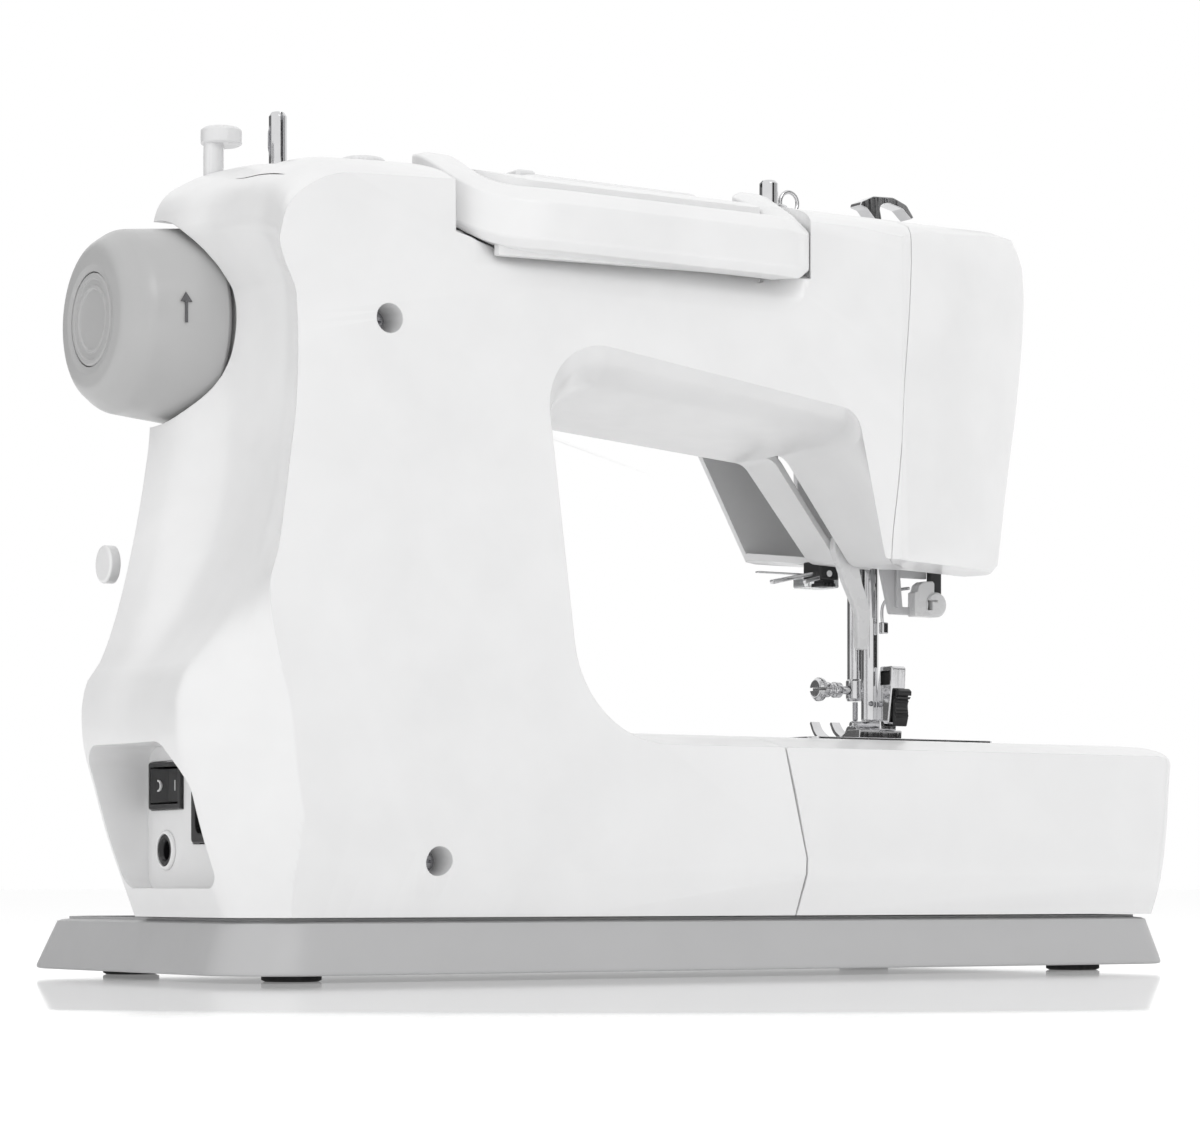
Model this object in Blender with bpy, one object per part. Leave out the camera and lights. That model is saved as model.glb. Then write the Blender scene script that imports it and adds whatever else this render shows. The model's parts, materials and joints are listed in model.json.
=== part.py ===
"""A free-arm domestic sewing machine, as an assembly of separate solids.

Frame: +Z up, the machine's length along X (needle end at -X, handwheel end at +X) and the back of the
machine towards +Y. The origin is under the middle of the machine, on the surface that it stands on.
Sizes are written in millimetres and turned into metres where a mesh is made.
"""

import math

import bmesh
import bpy
from mathutils import Matrix, Vector

MM = 0.001

# ---------------------------------------------------------------- driving dimensions, in millimetres
SHIFT = (0.0, -5.5, 0.0)  # moves the drawing, whose Y is 0 at the drive's shafts, to the machine's middle
GAP = 0.3  # the space kept between pieces that touch
WALL = 2.4  # casing wall

BASE_Z = (2.2, 19.6)  # underside and top of the base tray
BODY_Z0 = 19.9  # bottom edge of the casings
CREASE_Z = 33.8  # where the skirt starts to lean in
SKIRT_LEAN = 5.5
BED_Z = 80.6  # working surface of the bed
BED_EDGE_Z = 75.4  # the bed's edge at the back
BACK_Y = 84.0
FRONT_Y = -84.0
ARM_FRONT_Y = -52.0
HEAD_X = -149.0  # free end of the head
HEAD_Z = 139.5  # underside of the head

WHEEL_X = 191.6  # outer face of the handwheel
WHEEL_Z = 209.7
WHEEL_R = 32.0
RECESS_X = 154.5  # floor of the handwheel's recess

NEEDLE_X = -115.0  # the needle and the presser bar share this
NEEDLE_Y = -8.8
HOOK_Y = -25.3
LOWER_SHAFT_Z = 46.0
NEEDLE_BAR_R = 3.0
PRESSER_BAR_R = 3.25

ARM_Y = (-52.0, 34.0)  # free arm, front and back
ARM_X = -168.0  # free arm, free end
ARM_Z0 = 24.0
PLATE_Z = (BED_Z + GAP, BED_Z + GAP + 1.2)  # needle plate
TABLE_X = -194.6  # free end of the extension table

COLOURS = {
    "white_shell": ((0.86, 0.86, 0.86), 0.38, 0.0),
    "grey_base": ((0.60, 0.60, 0.61), 0.45, 0.0),
    "grey_wheel": ((0.62, 0.62, 0.62), 0.40, 0.0),
    "white_knob": ((0.84, 0.84, 0.84), 0.35, 0.0),
    "black_plastic": ((0.03, 0.03, 0.03), 0.45, 0.0),
    "rubber": ((0.05, 0.05, 0.05), 0.8, 0.0),
    "chrome": ((0.72, 0.72, 0.73), 0.12, 1.0),
    "steel": ((0.50, 0.50, 0.52), 0.30, 1.0),
    "casting": ((0.55, 0.56, 0.57), 0.55, 0.8),
    "clear_lens": ((0.85, 0.88, 0.9), 0.1, 0.0),
    "grey_lever": ((0.72, 0.72, 0.73), 0.4, 0.0),
}


# ---------------------------------------------------------------- helpers
def clear_scene():
    for obj in list(bpy.data.objects):
        bpy.data.objects.remove(obj)


def material(slot):
    found = bpy.data.materials.get(slot)
    if found:
        return found
    colour, roughness, metallic = COLOURS[slot]
    made = bpy.data.materials.new(slot)
    made.use_nodes = True
    shader = made.node_tree.nodes["Principled BSDF"]
    shader.inputs["Base Color"].default_value = (*colour, 1.0)
    shader.inputs["Roughness"].default_value = roughness
    shader.inputs["Metallic"].default_value = metallic
    return made


def solid(name, points, faces, slot, origin=(0, 0, 0)):
    """An object from points in millimetres, with its own origin, and its faces turned outwards."""
    mesh = bpy.data.meshes.new(name)
    base = Vector(origin) + Vector(SHIFT)
    mesh.from_pydata([(Vector(p) - Vector(origin)) * MM for p in points], [], faces)
    work = bmesh.new()
    work.from_mesh(mesh)
    bmesh.ops.remove_doubles(work, verts=work.verts, dist=1e-6)
    bmesh.ops.recalc_face_normals(work, faces=work.faces)
    if work.calc_volume(signed=True) < 0:
        bmesh.ops.reverse_faces(work, faces=work.faces)
    work.to_mesh(mesh)
    work.free()
    mesh.materials.append(material(slot))
    obj = bpy.data.objects.new(name, mesh)
    obj.location = base * MM
    bpy.context.scene.collection.objects.link(obj)
    mesh.shade_smooth()
    mesh.set_sharp_from_angle(angle=math.radians(35))
    return obj


def loft(name, sections, slot, origin=(0, 0, 0)):
    """A closed solid through sections of equal length, capped at both ends."""
    count = len(sections[0])
    points = [p for section in sections for p in section]
    faces = [
        (i * count + k, i * count + (k + 1) % count, (i + 1) * count + (k + 1) % count, (i + 1) * count + k)
        for i in range(len(sections) - 1)
        for k in range(count)
    ]
    faces.append(tuple(range(count)))
    faces.append(tuple(range(len(points) - count, len(points))))
    return solid(name, points, faces, slot, origin)


def box(name, low, high, slot="white_shell", origin=(0, 0, 0)):
    (x0, y0, z0), (x1, y1, z1) = low, high
    lower = [(x0, y0, z0), (x1, y0, z0), (x1, y1, z0), (x0, y1, z0)]
    upper = [(x, y, z1) for x, y, _ in lower]
    return loft(name, [lower, upper], slot, origin)


def along(axis, centre, u, v, t):
    """A point t along an axis letter from centre, and (u, v) across it."""
    x, y, z = centre
    return {"X": (x + t, y + u, z + v), "Y": (x + v, y + t, z + u), "Z": (x + u, y + v, z + t)}[axis]


def turned(name, axis, centre, profile, slot, segments=24, origin=None):
    """A solid of revolution. The profile is (distance along the axis, radius) from one end to the other."""
    turns = [2 * math.pi * (k + 0.5) / segments for k in range(segments)]
    rings = [
        [along(axis, centre, r * math.cos(a), r * math.sin(a), t) for a in turns] for t, r in profile
    ]
    return loft(name, rings, slot, centre if origin is None else origin)


def rod(name, axis, centre, length, radius, slot, segments=16, origin=None):
    return turned(name, axis, centre, [(0, radius), (length, radius)], slot, segments, origin)


def prism(name, axis, outline, start, end, slot, origin=(0, 0, 0)):
    """An outline of (u, v) pairs pushed along an axis: (y, z) for X, (x, z) for Y and (x, y) for Z."""
    place = {
        "X": lambda u, v, t: (t, u, v),
        "Y": lambda u, v, t: (u, t, v),
        "Z": lambda u, v, t: (u, v, t),
    }[axis]
    return loft(name, [[place(u, v, t) for u, v in outline] for t in (start, end)], slot, origin)


def hide_helper(obj):
    obj.hide_render = True
    obj.display_type = "WIRE"


def combine(obj, other, operation):
    """A Boolean with another object, which becomes a hidden helper."""
    hide_helper(other)
    change = obj.modifiers.new(f"{operation.lower()}_{other.name}"[:60], "BOOLEAN")
    change.operation = operation
    change.solver = "EXACT"
    change.object = other
    return obj


def cut(obj, *cutters):
    for cutter in cutters:
        combine(obj, cutter, "DIFFERENCE")
    return obj


def join(obj, *others):
    for other in others:
        combine(obj, other, "UNION")
    return obj


def keep(obj, other):
    return combine(obj, other, "INTERSECT")


def filleted(corners, steps=5):
    """A closed outline whose corners (u, v, radius) are rounded with arcs of a fixed number of points."""
    points = []
    count = len(corners)
    for i, (u, v, radius) in enumerate(corners):
        here = Vector((u, v))
        if radius <= 0:
            points.append((u, v))
            continue
        before = (Vector(corners[i - 1][:2]) - here).normalized()
        after = (Vector(corners[(i + 1) % count][:2]) - here).normalized()
        half = before.angle(after) / 2
        reach = radius / math.tan(half)
        centre = here + (before + after).normalized() * (radius / math.sin(half))
        start = here + before * reach - centre
        end = here + after * reach - centre
        sweep = start.angle_signed(end)
        for k in range(steps + 1):
            turn = Matrix.Rotation(-sweep * k / steps, 2)
            points.append(tuple(centre + turn @ start))
    return points


def inset(corners, wall):
    """The corners moved inwards by a wall, with their radii changed to suit."""
    area = sum(a[0] * b[1] - b[0] * a[1] for a, b in zip(corners, corners[1:] + corners[:1]))
    side = 1 if area > 0 else -1
    moved = []
    for i, (u, v, radius) in enumerate(corners):
        here = Vector((u, v))
        a = (here - Vector(corners[i - 1][:2])).normalized()
        b = (Vector(corners[(i + 1) % len(corners)][:2]) - here).normalized()
        normal = Vector((-a.y, a.x)) * side
        lean = (normal + Vector((-b.y, b.x)) * side).normalized()
        point = here + lean * wall / max(0.5, lean.dot(normal))
        convex = (a.x * b.y - a.y * b.x) * side > 0
        changed = max(0.3, radius - wall if convex else radius + wall) if radius > 0 else 0
        moved.append((point.x, point.y, changed))
    return moved


def between(table, at):
    """Straight interpolation in a table of (position, value) pairs that rises in position."""
    if at <= table[0][0]:
        return table[0][1]
    for (p0, v0), (p1, v1) in zip(table, table[1:]):
        if at <= p1:
            return v0 + (v1 - v0) * (at - p0) / (p1 - p0)
    return table[-1][1]


# ---------------------------------------------------------------- the casing's outer shape
# Each curve is a list of (position, value) pairs in millimetres.
SIDE_LEVELS = (218, 206, 193, 176, 160, 146, 132, 120, 110, 101, 93, 84, 77, 60, 45, 33, BODY_Z0)
SIDE_AT_PARTING = [
    (BODY_Z0, 176), (33, 181), (45, 185.5), (60, 190), (77, 194.3), (84, 194.6), (93, 193.3), (101, 188.2),
    (110, 184.6), (120, 181.5), (132, 178.5), (146, 175.5), (160, 173), (176, 171), (193, 170.6),
    (262, 170.6),
]
SIDE_AT_WAIST = [
    (BODY_Z0, 176), (33, 181), (45, 185), (60, 189), (77, 192), (84, 192), (93, 190), (101, 184), (110, 177),
    (120, 171), (132, 165), (146, 160), (160, 157.5), (176, 156), (209, 155), (228, 158), (244, 170),
    (262, 170.6),
]
SIDE_AT_BACK = [
    (BODY_Z0, 150), (33, 154), (60, 160), (84, 163), (101, 168), (120, 171), (132, 168), (146, 165.8),
    (160, 164), (176, 162), (193, 161.4), (209, 162), (222, 167), (240, 168), (262, 168),
]
SIDE_BLEND = [(0, 0.0), (14, 0.25), (32, 0.9), (46, 1.0), (62, 1.0), (76, 1.45), (BACK_Y, 2.0)]
TOP_BY_DEPTH = [
    (ARM_FRONT_Y, 246), (-46, 253), (-36, 258.5), (-20, 262), (0, 263), (20, 262.3), (40, 260.2),
    (50, 258.4), (60, 256), (70, 252), (79, 247.5), (BACK_Y, 242.5),
]
HEAD_END_BY_DEPTH = [
    (ARM_FRONT_Y, -118), (-49, -135), (-42, -146), (-32, HEAD_X), (44, HEAD_X), (56, -143), (64, -133),
    (72, -114), (79, -92), (BACK_Y, -64),
]
UNDERSIDE_BLEND = [(20, 1.0), (45, 0.92), (64, 0.74), (76, 0.42), (BACK_Y, 0.0)]
BED_TOP_BY_DEPTH = [
    (FRONT_Y, BED_EDGE_Z), (-60, BED_Z - 1), (-40, BED_Z), (40, BED_Z), (62, BED_Z - 1.2),
    (BACK_Y, BED_EDGE_Z),
]

# The throat's corners as (x, z, radius): deep inside the arm, and on the back face.
THROAT_DEEP = ((52, 0, 33), (62, 189.7, 18), (-60.5, 179.2, 8), (-89.5, HEAD_Z + 2, 6))
THROAT_BACK = ((58.4, 0, 36), (75, 205.3, 20), (-49, 188.2, 9), (-60.4, HEAD_Z, 1.5))


def mixed(a, b, share):
    return a + (b - a) * share


def side_x(y, z):
    """The handwheel end of the casing, at a depth and a height."""
    parting = between(SIDE_AT_PARTING, z)
    if y < 0:
        lean = max(0.0, (-y - 34) / 18)
        return parting - 10 * lean * lean
    blend = between(SIDE_BLEND, y)
    waist = between(SIDE_AT_WAIST, z)
    if blend <= 1:
        return mixed(parting, waist, blend)
    return mixed(waist, between(SIDE_AT_BACK, z), blend - 1)


def casing_corners(y):
    """The machine's C-shaped outline, as (x, z, radius), at a depth."""
    share = 1.0 - between(UNDERSIDE_BLEND, max(0, y))
    bed = between(BED_TOP_BY_DEPTH, y)
    top = between(TOP_BY_DEPTH, y)
    end = between(HEAD_END_BY_DEPTH, y)
    throat = [
        [mixed(a, b, share) for a, b in zip(deep, back)] for deep, back in zip(THROAT_DEEP, THROAT_BACK)
    ]
    low_right, top_right, top_left, low_left = throat
    low_right[1] = bed
    left_x = min(low_left[0] - 7, end + 15)
    corners = [(-27, BODY_Z0, 0), (-28, 39, 0), (-19.2, bed, 0), low_right, top_right, top_left, low_left]
    corners.append((left_x, HEAD_Z, 0))
    shape = [(174, 7.7), (203, 3.2), (top - 22, 0.4), (top - 9, 1.5), (top - 3, 6)]
    corners += [(min(left_x, end + reach), z, 0) for z, reach in shape]
    corners.append((end + 14, top, 0))
    corners.append((side_x(y, 236), top, 18))
    corners += [(side_x(y, z), z, 0) for z in SIDE_LEVELS]
    return corners


def foot_corners(y):
    """The pillar's foot, which spreads forwards of the arm, as (x, z, radius) at a depth."""
    spread = min(1.0, (y - FRONT_Y) / (ARM_FRONT_Y - FRONT_Y))
    top = mixed(90, 122, spread**0.7)
    bed = between(BED_TOP_BY_DEPTH, y)
    corner = 26 * max(0.0, 1 - spread / 0.9) ** 2
    corners = [(-27, BODY_Z0, 0), (-28, 39, 0), (-19.2, bed, 0), (52, bed, 8 + 25 * spread)]
    corners.append((mixed(56, 59, spread), top, 0))
    levels = [BODY_Z0 + (top - BODY_Z0) * k / 6 for k in range(6, -1, -1)]
    corners += [(side_x(0, z) - corner, z, 0) for z in levels]
    return corners


def casing_solid(name, corners_at, stations, wall=0.0, steps=5):
    """A loft along the depth. The stations are (place, depth) pairs: where, and which depth's outline."""
    sections = []
    for place, depth in stations:
        corners = corners_at(depth)
        outline = filleted(inset(corners, wall) if wall else corners, steps)
        sections.append([(x, place, z) for x, z in outline])
    return loft(name, sections, "white_shell")


OUTER = [(d, d) for d in (ARM_FRONT_Y, -48, -42, -34, -20, -1.3, 14, 32, 46, 56, 64, 70, 76, 80, BACK_Y)]
INNER = [
    (ARM_FRONT_Y + WALL, -51), (-42, -42), (-20, -20), (2.7, 2.7), (31, 31), (57, 57), (71, 71),
    (77.5, 77.5),
]
FOOT_OUTER = [(-40, ARM_FRONT_Y)] + [(d, d) for d in (ARM_FRONT_Y, -62, -70, -77, -81.5, FRONT_Y)]
FOOT_INNER = [(-38, ARM_FRONT_Y), (-54, -54), (-66, -66), (-76, -77), (FRONT_Y + WALL, -82)]


def outer_solid(name):
    return casing_solid(name, casing_corners, OUTER)


def outer_foot(name):
    return casing_solid(name, foot_corners, FOOT_OUTER, steps=3)


def hollow_solid(name):
    """The space inside the casings, less the wells and grooves that are let into them."""
    hollow = casing_solid(name, casing_corners, INNER, WALL, 3)
    join(hollow, casing_solid(f"{name}_foot", foot_corners, FOOT_INNER, WALL, 2))
    cut(hollow, wheel_well(f"{name}_wheel", WHEEL_R + 1.2 + WALL, RECESS_X - WALL))
    cut(hollow, *handle_groove(f"{name}_handle", WALL), connection_recess(f"{name}_recess", WALL))
    for i, (x, z) in enumerate(SCREW_WELLS):
        cut(hollow, screw_well(f"{name}_screw_{i}", x, z, SCREW_WELL_R + WALL, SCREW_WELL_DEPTH + WALL))
    return hollow


# ---------------------------------------------------------------- cutters shared by the casings
def seam_block(name, side, y0=-120, y1=120):
    """The space on one side of the face cover's seam: side -1 is the head's end, +1 is the rest."""
    edge = GAP / 2 * side
    far = -400 if side < 0 else 400
    inner = [(-103, 0), (-103, 141), (-72, 196), (-70, 252), (-70, 400)]
    outer = [(-61, 0), (-62.9, 141), (-67.7, 196), (-72.6, 252), (-74, 400)]
    sections = []
    for y, line in ((y0, inner), (40, inner), (72, outer), (y1, outer)):
        if not y0 <= y <= y1:
            continue
        sections.append([(x + edge, y, z) for x, z in line] + [(far, y, 400), (far, y, 0)])
    if y1 < 40:
        sections[-1] = [(x, y1, z) for x, _, z in sections[0]]
    return loft(name, sections, "white_shell")


def skirt_cutter(name):
    """Leans the back's lower edge in. Its upper edge climbs towards the handwheel end."""
    crest = [(-260, CREASE_Z), (75, CREASE_Z), (115, 39.3), (161, 52.7), (177, 60), (240, 84)]
    sections = []
    for x, z in crest:
        top = (x, BACK_Y + 0.05, z)
        low = (x, BACK_Y - SKIRT_LEAN, BODY_Z0 - 1)
        sections.append([top, low, (x, BACK_Y + 30, BODY_Z0 - 1), (x, BACK_Y + 30, z)])
    return loft(name, sections, "white_shell")


def wheel_well(name, radius, floor):
    return rod(name, "X", (floor, 0, WHEEL_Z), 90, radius, "white_shell", 32)


def stepped_well(name):
    """The handwheel's well, with the shaft's hole in its floor."""
    profile = [(140, 9), (RECESS_X, 9), (RECESS_X, WHEEL_R + 1.2), (RECESS_X + 90, WHEEL_R + 1.2)]
    return turned(name, "X", (0, 0, WHEEL_Z), profile, "white_shell", 32)


def screw_well(name, x, z, radius, depth):
    return rod(name, "Y", (x, BACK_Y - depth, z), depth + 10, radius, "white_shell", 12)


SCREW_WELLS = ((129.6, 204.3), (111.8, 37.4))
SCREW_WELL_R = 4.6
SCREW_WELL_DEPTH = 12.0

# The recess for the switch and the sockets, open to the handwheel end.
RECESS_FLOOR_X = 172.0
RECESS_Y = (1.5, 66.0)
RECESS_Z = (29.0, 74.0)
SWITCH_Y, SWITCH_Z = (4.0, 27.0), (54.0, 69.0)
INLET_Y, INLET_Z = (34.0, 57.0), (43.0, 62.0)
JACK_Y, JACK_Z, JACK_R = 15.3, 41.0, 5.2


def connection_recess(name, grow):
    (y0, y1), (z0, z1) = RECESS_Y, RECESS_Z
    corners = [(y0, z0, 5), (y1 - 1, z0, 5), (y1, z1, 9), (y0, z1, 7)]
    outline = filleted(inset(corners, -grow) if grow else corners, 3)
    return prism(name, "X", outline, RECESS_FLOOR_X - grow, 240, "white_shell")


def socket_holes(prefix):
    """Holes in the recess floor for the switch, the inlet and the jack."""
    x0, x1 = RECESS_FLOOR_X - 8, RECESS_FLOOR_X + 3
    return (
        box(
            f"{prefix}_switch", (x0, SWITCH_Y[0] - GAP, SWITCH_Z[0] - GAP),
            (x1, SWITCH_Y[1] + GAP, SWITCH_Z[1] + GAP),
        ),
        box(
            f"{prefix}_inlet", (x0, INLET_Y[0] - GAP, INLET_Z[0] - GAP),
            (x1, INLET_Y[1] + GAP, INLET_Z[1] + GAP),
        ),
        rod(f"{prefix}_jack", "X", (x0, JACK_Y, JACK_Z), 11, JACK_R + GAP, "white_shell", 16),
    )


HANDLE_X = (-31.0, 107.0)
HANDLE_PIVOT_Y, HANDLE_PIVOT_Z = 62.0, 250.5  # the handle turns about this line, along X
HANDLE_ARM = 12.0


def handle_groove(name, grow):
    """The hollow behind the folded handle's grip, and the two pockets for its arms."""
    x0, x1 = HANDLE_X[0] - 1 - grow, HANDLE_X[1] + 1 + grow
    g = grow
    back = [
        (74.5 - g, 290), (74.5 - g, 232 - g), (79 - g, 222 - g), (91, 211 - g), (120, 211 - g),
        (120, 290),
    ]
    pocket = [
        (53 - g, 290), (53 - g, 246 - g), (61 - g, 240 - g), (77 - g, 230 - g), (120, 230 - g),
        (120, 290),
    ]
    inner = HANDLE_ARM + 1 + grow
    return (
        prism(f"{name}_back", "X", back, x0, x1, "white_shell"),
        prism(f"{name}_left", "X", pocket, x0, x0 + inner + 1 + grow, "white_shell"),
        prism(f"{name}_right", "X", pocket, x1 - inner - 1 - grow, x1, "white_shell"),
    )


def lifter_slot(name):
    """The slanting slot in the head's throat side that the presser lifter swings in."""
    outline = [(-67, 182), (-56, 180), (-84, 136), (-109, 136), (-102, 147), (-93, 147)]
    return prism(name, "Y", outline, 18.5, 25.5, "white_shell")


def arm_passage(name):
    """Leaves the covers open where the free arm joins the bed."""
    low = (-45, ARM_Y[0] + WALL, ARM_Z0 + WALL)
    return box(name, low, (4, ARM_Y[1] - WALL, BED_Z - WALL - 3))


# ---------------------------------------------------------------- casings
# Dials on the front: name, x, z, radius, height.
DIALS = (
    ("pattern_dial", 112.0, 222.0, 21.0, 12.0),
    ("length_dial", 112.0, 172.0, 13.0, 10.0),
    ("width_dial", 40.0, 226.0, 12.0, 9.0),
    ("tension_dial", -84.0, 232.0, 10.5, 9.0),
)
REVERSE_Z = (126.0, 143.0)
REVERSE_X = 112.0


def rear_cover():
    cover = outer_solid("rear_cover")
    cut(cover, skirt_cutter("rear_skirt"), hollow_solid("rear_hollow"))
    cut(cover, stepped_well("rear_well"))
    cut(cover, *handle_groove("rear_groove", 0.0), connection_recess("rear_recess", 0.0))
    for i, (x, z) in enumerate(SCREW_WELLS):
        cut(cover, screw_well(f"rear_well_{i}", x, z, SCREW_WELL_R, SCREW_WELL_DEPTH))
        cut(cover, rod(f"rear_hole_{i}", "Y", (x, BACK_Y - 20, z), 12, 1.9, "white_shell", 12))
    cut(
        cover, lifter_slot("rear_slot"), arm_passage("rear_passage"), *socket_holes("rear"),
        *top_holes("rear")
    )
    keep(cover, seam_block("rear_keep", 1, GAP / 2, 120))
    return cover


def front_cover():
    cover = outer_solid("front_cover")
    join(cover, outer_foot("front_foot"))
    keep(cover, seam_block("front_keep", 1, -120, -GAP / 2))
    cut(cover, hollow_solid("front_hollow"))
    cut(cover, stepped_well("front_well"))
    cut(cover, arm_passage("front_passage"), round_cap_hole("front_cap_hole"), *top_holes("front"))
    for name, x, z, _, _ in DIALS:
        cut(cover, rod(f"{name}_front_hole", "Y", (x, ARM_FRONT_Y - 3, z), 9, 4.3, "white_shell", 12))
    low = (REVERSE_X - 8, ARM_FRONT_Y - 30, REVERSE_Z[0])
    cut(cover, box("reverse_hole", low, (REVERSE_X + 8, ARM_FRONT_Y + 6, REVERSE_Z[1])))
    cut(cover, *vents("vent"))
    return cover


def face_cover():
    """The cover on the head's end, around the needle and presser bars."""
    cover = outer_solid("face_cover")
    cut(cover, hollow_solid("face_hollow"))
    cut(
        cover,
        prism(
            "face_bottom", "Z",
            filleted([(-136, -20, 6), (-103.6, -20, 6), (-103.6, 34, 6), (-136, 34, 6)], 3), 120,
            HEAD_Z + 8, "white_shell",
        ),
    )
    cut(
        cover, lifter_slot("face_slot"),
        box("take_up_slot", (NEEDLE_X - 4, -70, 168), (NEEDLE_X + 4, -38, 242)),
    )
    cut(
        cover,
        rod("tension_face_hole", "Y", (DIALS[3][1], ARM_FRONT_Y - 3, DIALS[3][2]), 9, 4.3, "white_shell", 12),
    )
    cut(cover, *top_holes("face"), box("lamp_hole", (-122.3, -37.3, 130), (-107.7, -24.7, 150)))
    keep(cover, seam_block("face_keep", -1))
    return cover


def round_cap_hole(name):
    return rod(name, "X", (168, -20, 134), 30, 6.6, "white_shell", 16)


def vents(prefix):
    """Slots in the handwheel end, near the foot."""
    made = []
    for row in range(3):
        for column in range(5):
            y = -14 - 9 * column
            z = 38 + 13 * row
            outline = [(y - 1.2, z - 4.5), (y + 1.2, z - 4.5), (y + 3.2, z + 4.5), (y + 0.8, z + 4.5)]
            made.append(prism(f"{prefix}_{row}_{column}", "X", outline, 150, 210, "white_shell"))
    return made


def top_holes(prefix):
    """Holes in the top for the winder, its stop, the top dial, the tension disc and the thread guide."""
    made = []
    for name, x, y, radius in TOP_FITTINGS:
        made.append(rod(f"{prefix}_{name}_hole", "Z", (x, y, 240), 60, radius + GAP, "white_shell", 12))
    return made


TOP_DIAL_X = 93.0
TENSION_AT = (-76.0, -6.0)
GUIDE_X = -119.0
TOP_FITTINGS = (
    ("winder", 124.6, 0.0, 3.4),
    ("stop", 145.0, 0.0, 3.4),
    ("dial", TOP_DIAL_X, 0.0, 4.0),
    ("tension", *TENSION_AT, 3.0),
    ("guide", GUIDE_X, 0.0, 2.4),
)


# ---------------------------------------------------------------- bed, base and extension table
def rounded(x0, x1, y0, y1, z, left, right, steps=4):
    corners = [(x0, y0, left), (x1, y0, right), (x1, y1, right), (x0, y1, left)]
    return [(x, y, z) for x, y in filleted(corners, steps)]


def base_plate():
    z0, z1 = BASE_Z
    tray = loft(
        "base_plate",
        [rounded(-189, 182, -84, 84, z0, 12, 24), rounded(-184, 175, -78, 78, z1, 9, 22)],
        "grey_base",
    )
    cut(tray, box("base_inside", (-180, -73, z0 + 3), (170, 73, z1 + 5), "grey_base"))
    return tray


FEET = ((-160.0, -62.0), (150.0, -58.0), (-160.0, 62.0), (150.0, 58.0))


def feet():
    for i, (x, y) in enumerate(FEET):
        profile = [(0, 8.5), (0.6, 9.5), (BASE_Z[0] - GAP, 9.5)]
        turned(f"foot_{i + 1}", "Z", (x, y, 0), profile, "rubber", 16)


def free_arm():
    y0, y1 = ARM_Y
    outline = [(y0, ARM_Z0, 5), (y1, ARM_Z0, 5), (y1, BED_Z, 4), (y0, BED_Z, 4)]
    arm = prism("free_arm", "X", filleted(outline, 3), ARM_X, -28.4, "white_shell")
    inner = [
        (y0 + WALL, ARM_Z0 + WALL, 3), (y1 - WALL, ARM_Z0 + WALL, 3), (y1 - WALL, BED_Z - WALL, 2),
        (y0 + WALL, BED_Z - WALL, 2),
    ]
    cut(arm, prism("arm_hollow", "X", filleted(inner, 2), ARM_X + WALL, -20, "white_shell"))
    cut(arm, box("arm_opening", (-140, -44, 72), (-90, 14, 90)))
    return arm


FEED_ROWS = ((NEEDLE_X - 7.4, NEEDLE_X - 5.0), (NEEDLE_X + 5.0, NEEDLE_X + 7.4))
FEED_Y = (-7.0, 9.0)
COVER_X = (-132.0, -98.0)
COVER_BACK_Y = -18.5


def needle_plate():
    z0, z1 = PLATE_Z
    plate = prism(
        "needle_plate", "Z",
        filleted([(-152, -47, 3), (-70, -47, 3), (-70, 29, 3), (-152, 29, 3)], 3), z0, z1, "chrome",
    )
    for i, (x0, x1) in enumerate(FEED_ROWS):
        cut(
            plate,
            box(f"feed_slot_{i}", (x0 - 0.5, FEED_Y[0] - 2.6, z0 - 5), (x1 + 0.5, FEED_Y[1] + 2.6, z1 + 5)),
        )
    cut(
        plate,
        box(
            "needle_slot", (NEEDLE_X - 3.4, NEEDLE_Y - 1.2, z0 - 5),
            (NEEDLE_X + 3.4, NEEDLE_Y + 1.2, z1 + 5),
        ),
    )
    cut(
        plate,
        box("cover_notch", (COVER_X[0] - GAP, -60, z0 - 5), (COVER_X[1] + GAP, COVER_BACK_Y + GAP, z1 + 5)),
    )
    return plate


def bobbin_cover():
    z0, z1 = PLATE_Z
    cover = box("bobbin_cover", (COVER_X[0], -47, z0), (COVER_X[1], COVER_BACK_Y, z1), "clear_lens")
    cut(cover, box("bobbin_cover_thumb", (NEEDLE_X - 5, -43, z1 - 0.6), (NEEDLE_X + 5, -40, z1 + 4)))
    return cover


def feed_dog():
    x0, x1 = FEED_ROWS[0][0], FEED_ROWS[1][1]
    dog = box("feed_dog", (x0, FEED_Y[0], 66), (x1, FEED_Y[1], 70), "steel")
    for i, (left, right) in enumerate(FEED_ROWS):
        pitch = (FEED_Y[1] - FEED_Y[0]) / 6
        outline = [(FEED_Y[0], 69)]
        for k in range(6):
            outline += [
                (FEED_Y[0] + pitch * k, PLATE_Z[1] - 0.9),
                (FEED_Y[0] + pitch * (k + 0.7), PLATE_Z[1] - 0.1),
            ]
        outline += [(FEED_Y[1], PLATE_Z[1] - 0.9), (FEED_Y[1], 69)]
        join(dog, prism(f"feed_row_{i}", "X", outline, left, right, "steel"))
    return dog


TABLE_LEVELS = ((BODY_Z0, 9.0), (33.8, 4.5), (70, 0.6), (BED_EDGE_Z, 0.0))
LID_HINGE_Y, LID_HINGE_Z = -82.2, 28.0


def table_corners(y):
    """The extension table's outline, as (x, z, radius), at a depth."""
    bed = between(BED_TOP_BY_DEPTH, y)
    pull = between([(60, 0.0), (76, 2.0), (81, 5.0), (BACK_Y, 10.0)], abs(y))
    free = TABLE_X + pull
    corners = [(free + reach, z, 0) for z, reach in TABLE_LEVELS[:-1]]
    corners += [(free, bed - 2, 0), (free + 3, bed, 0), (-19.8, bed, 0), (-28.6, 39, 0), (-27.6, BODY_Z0, 0)]
    return corners


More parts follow.
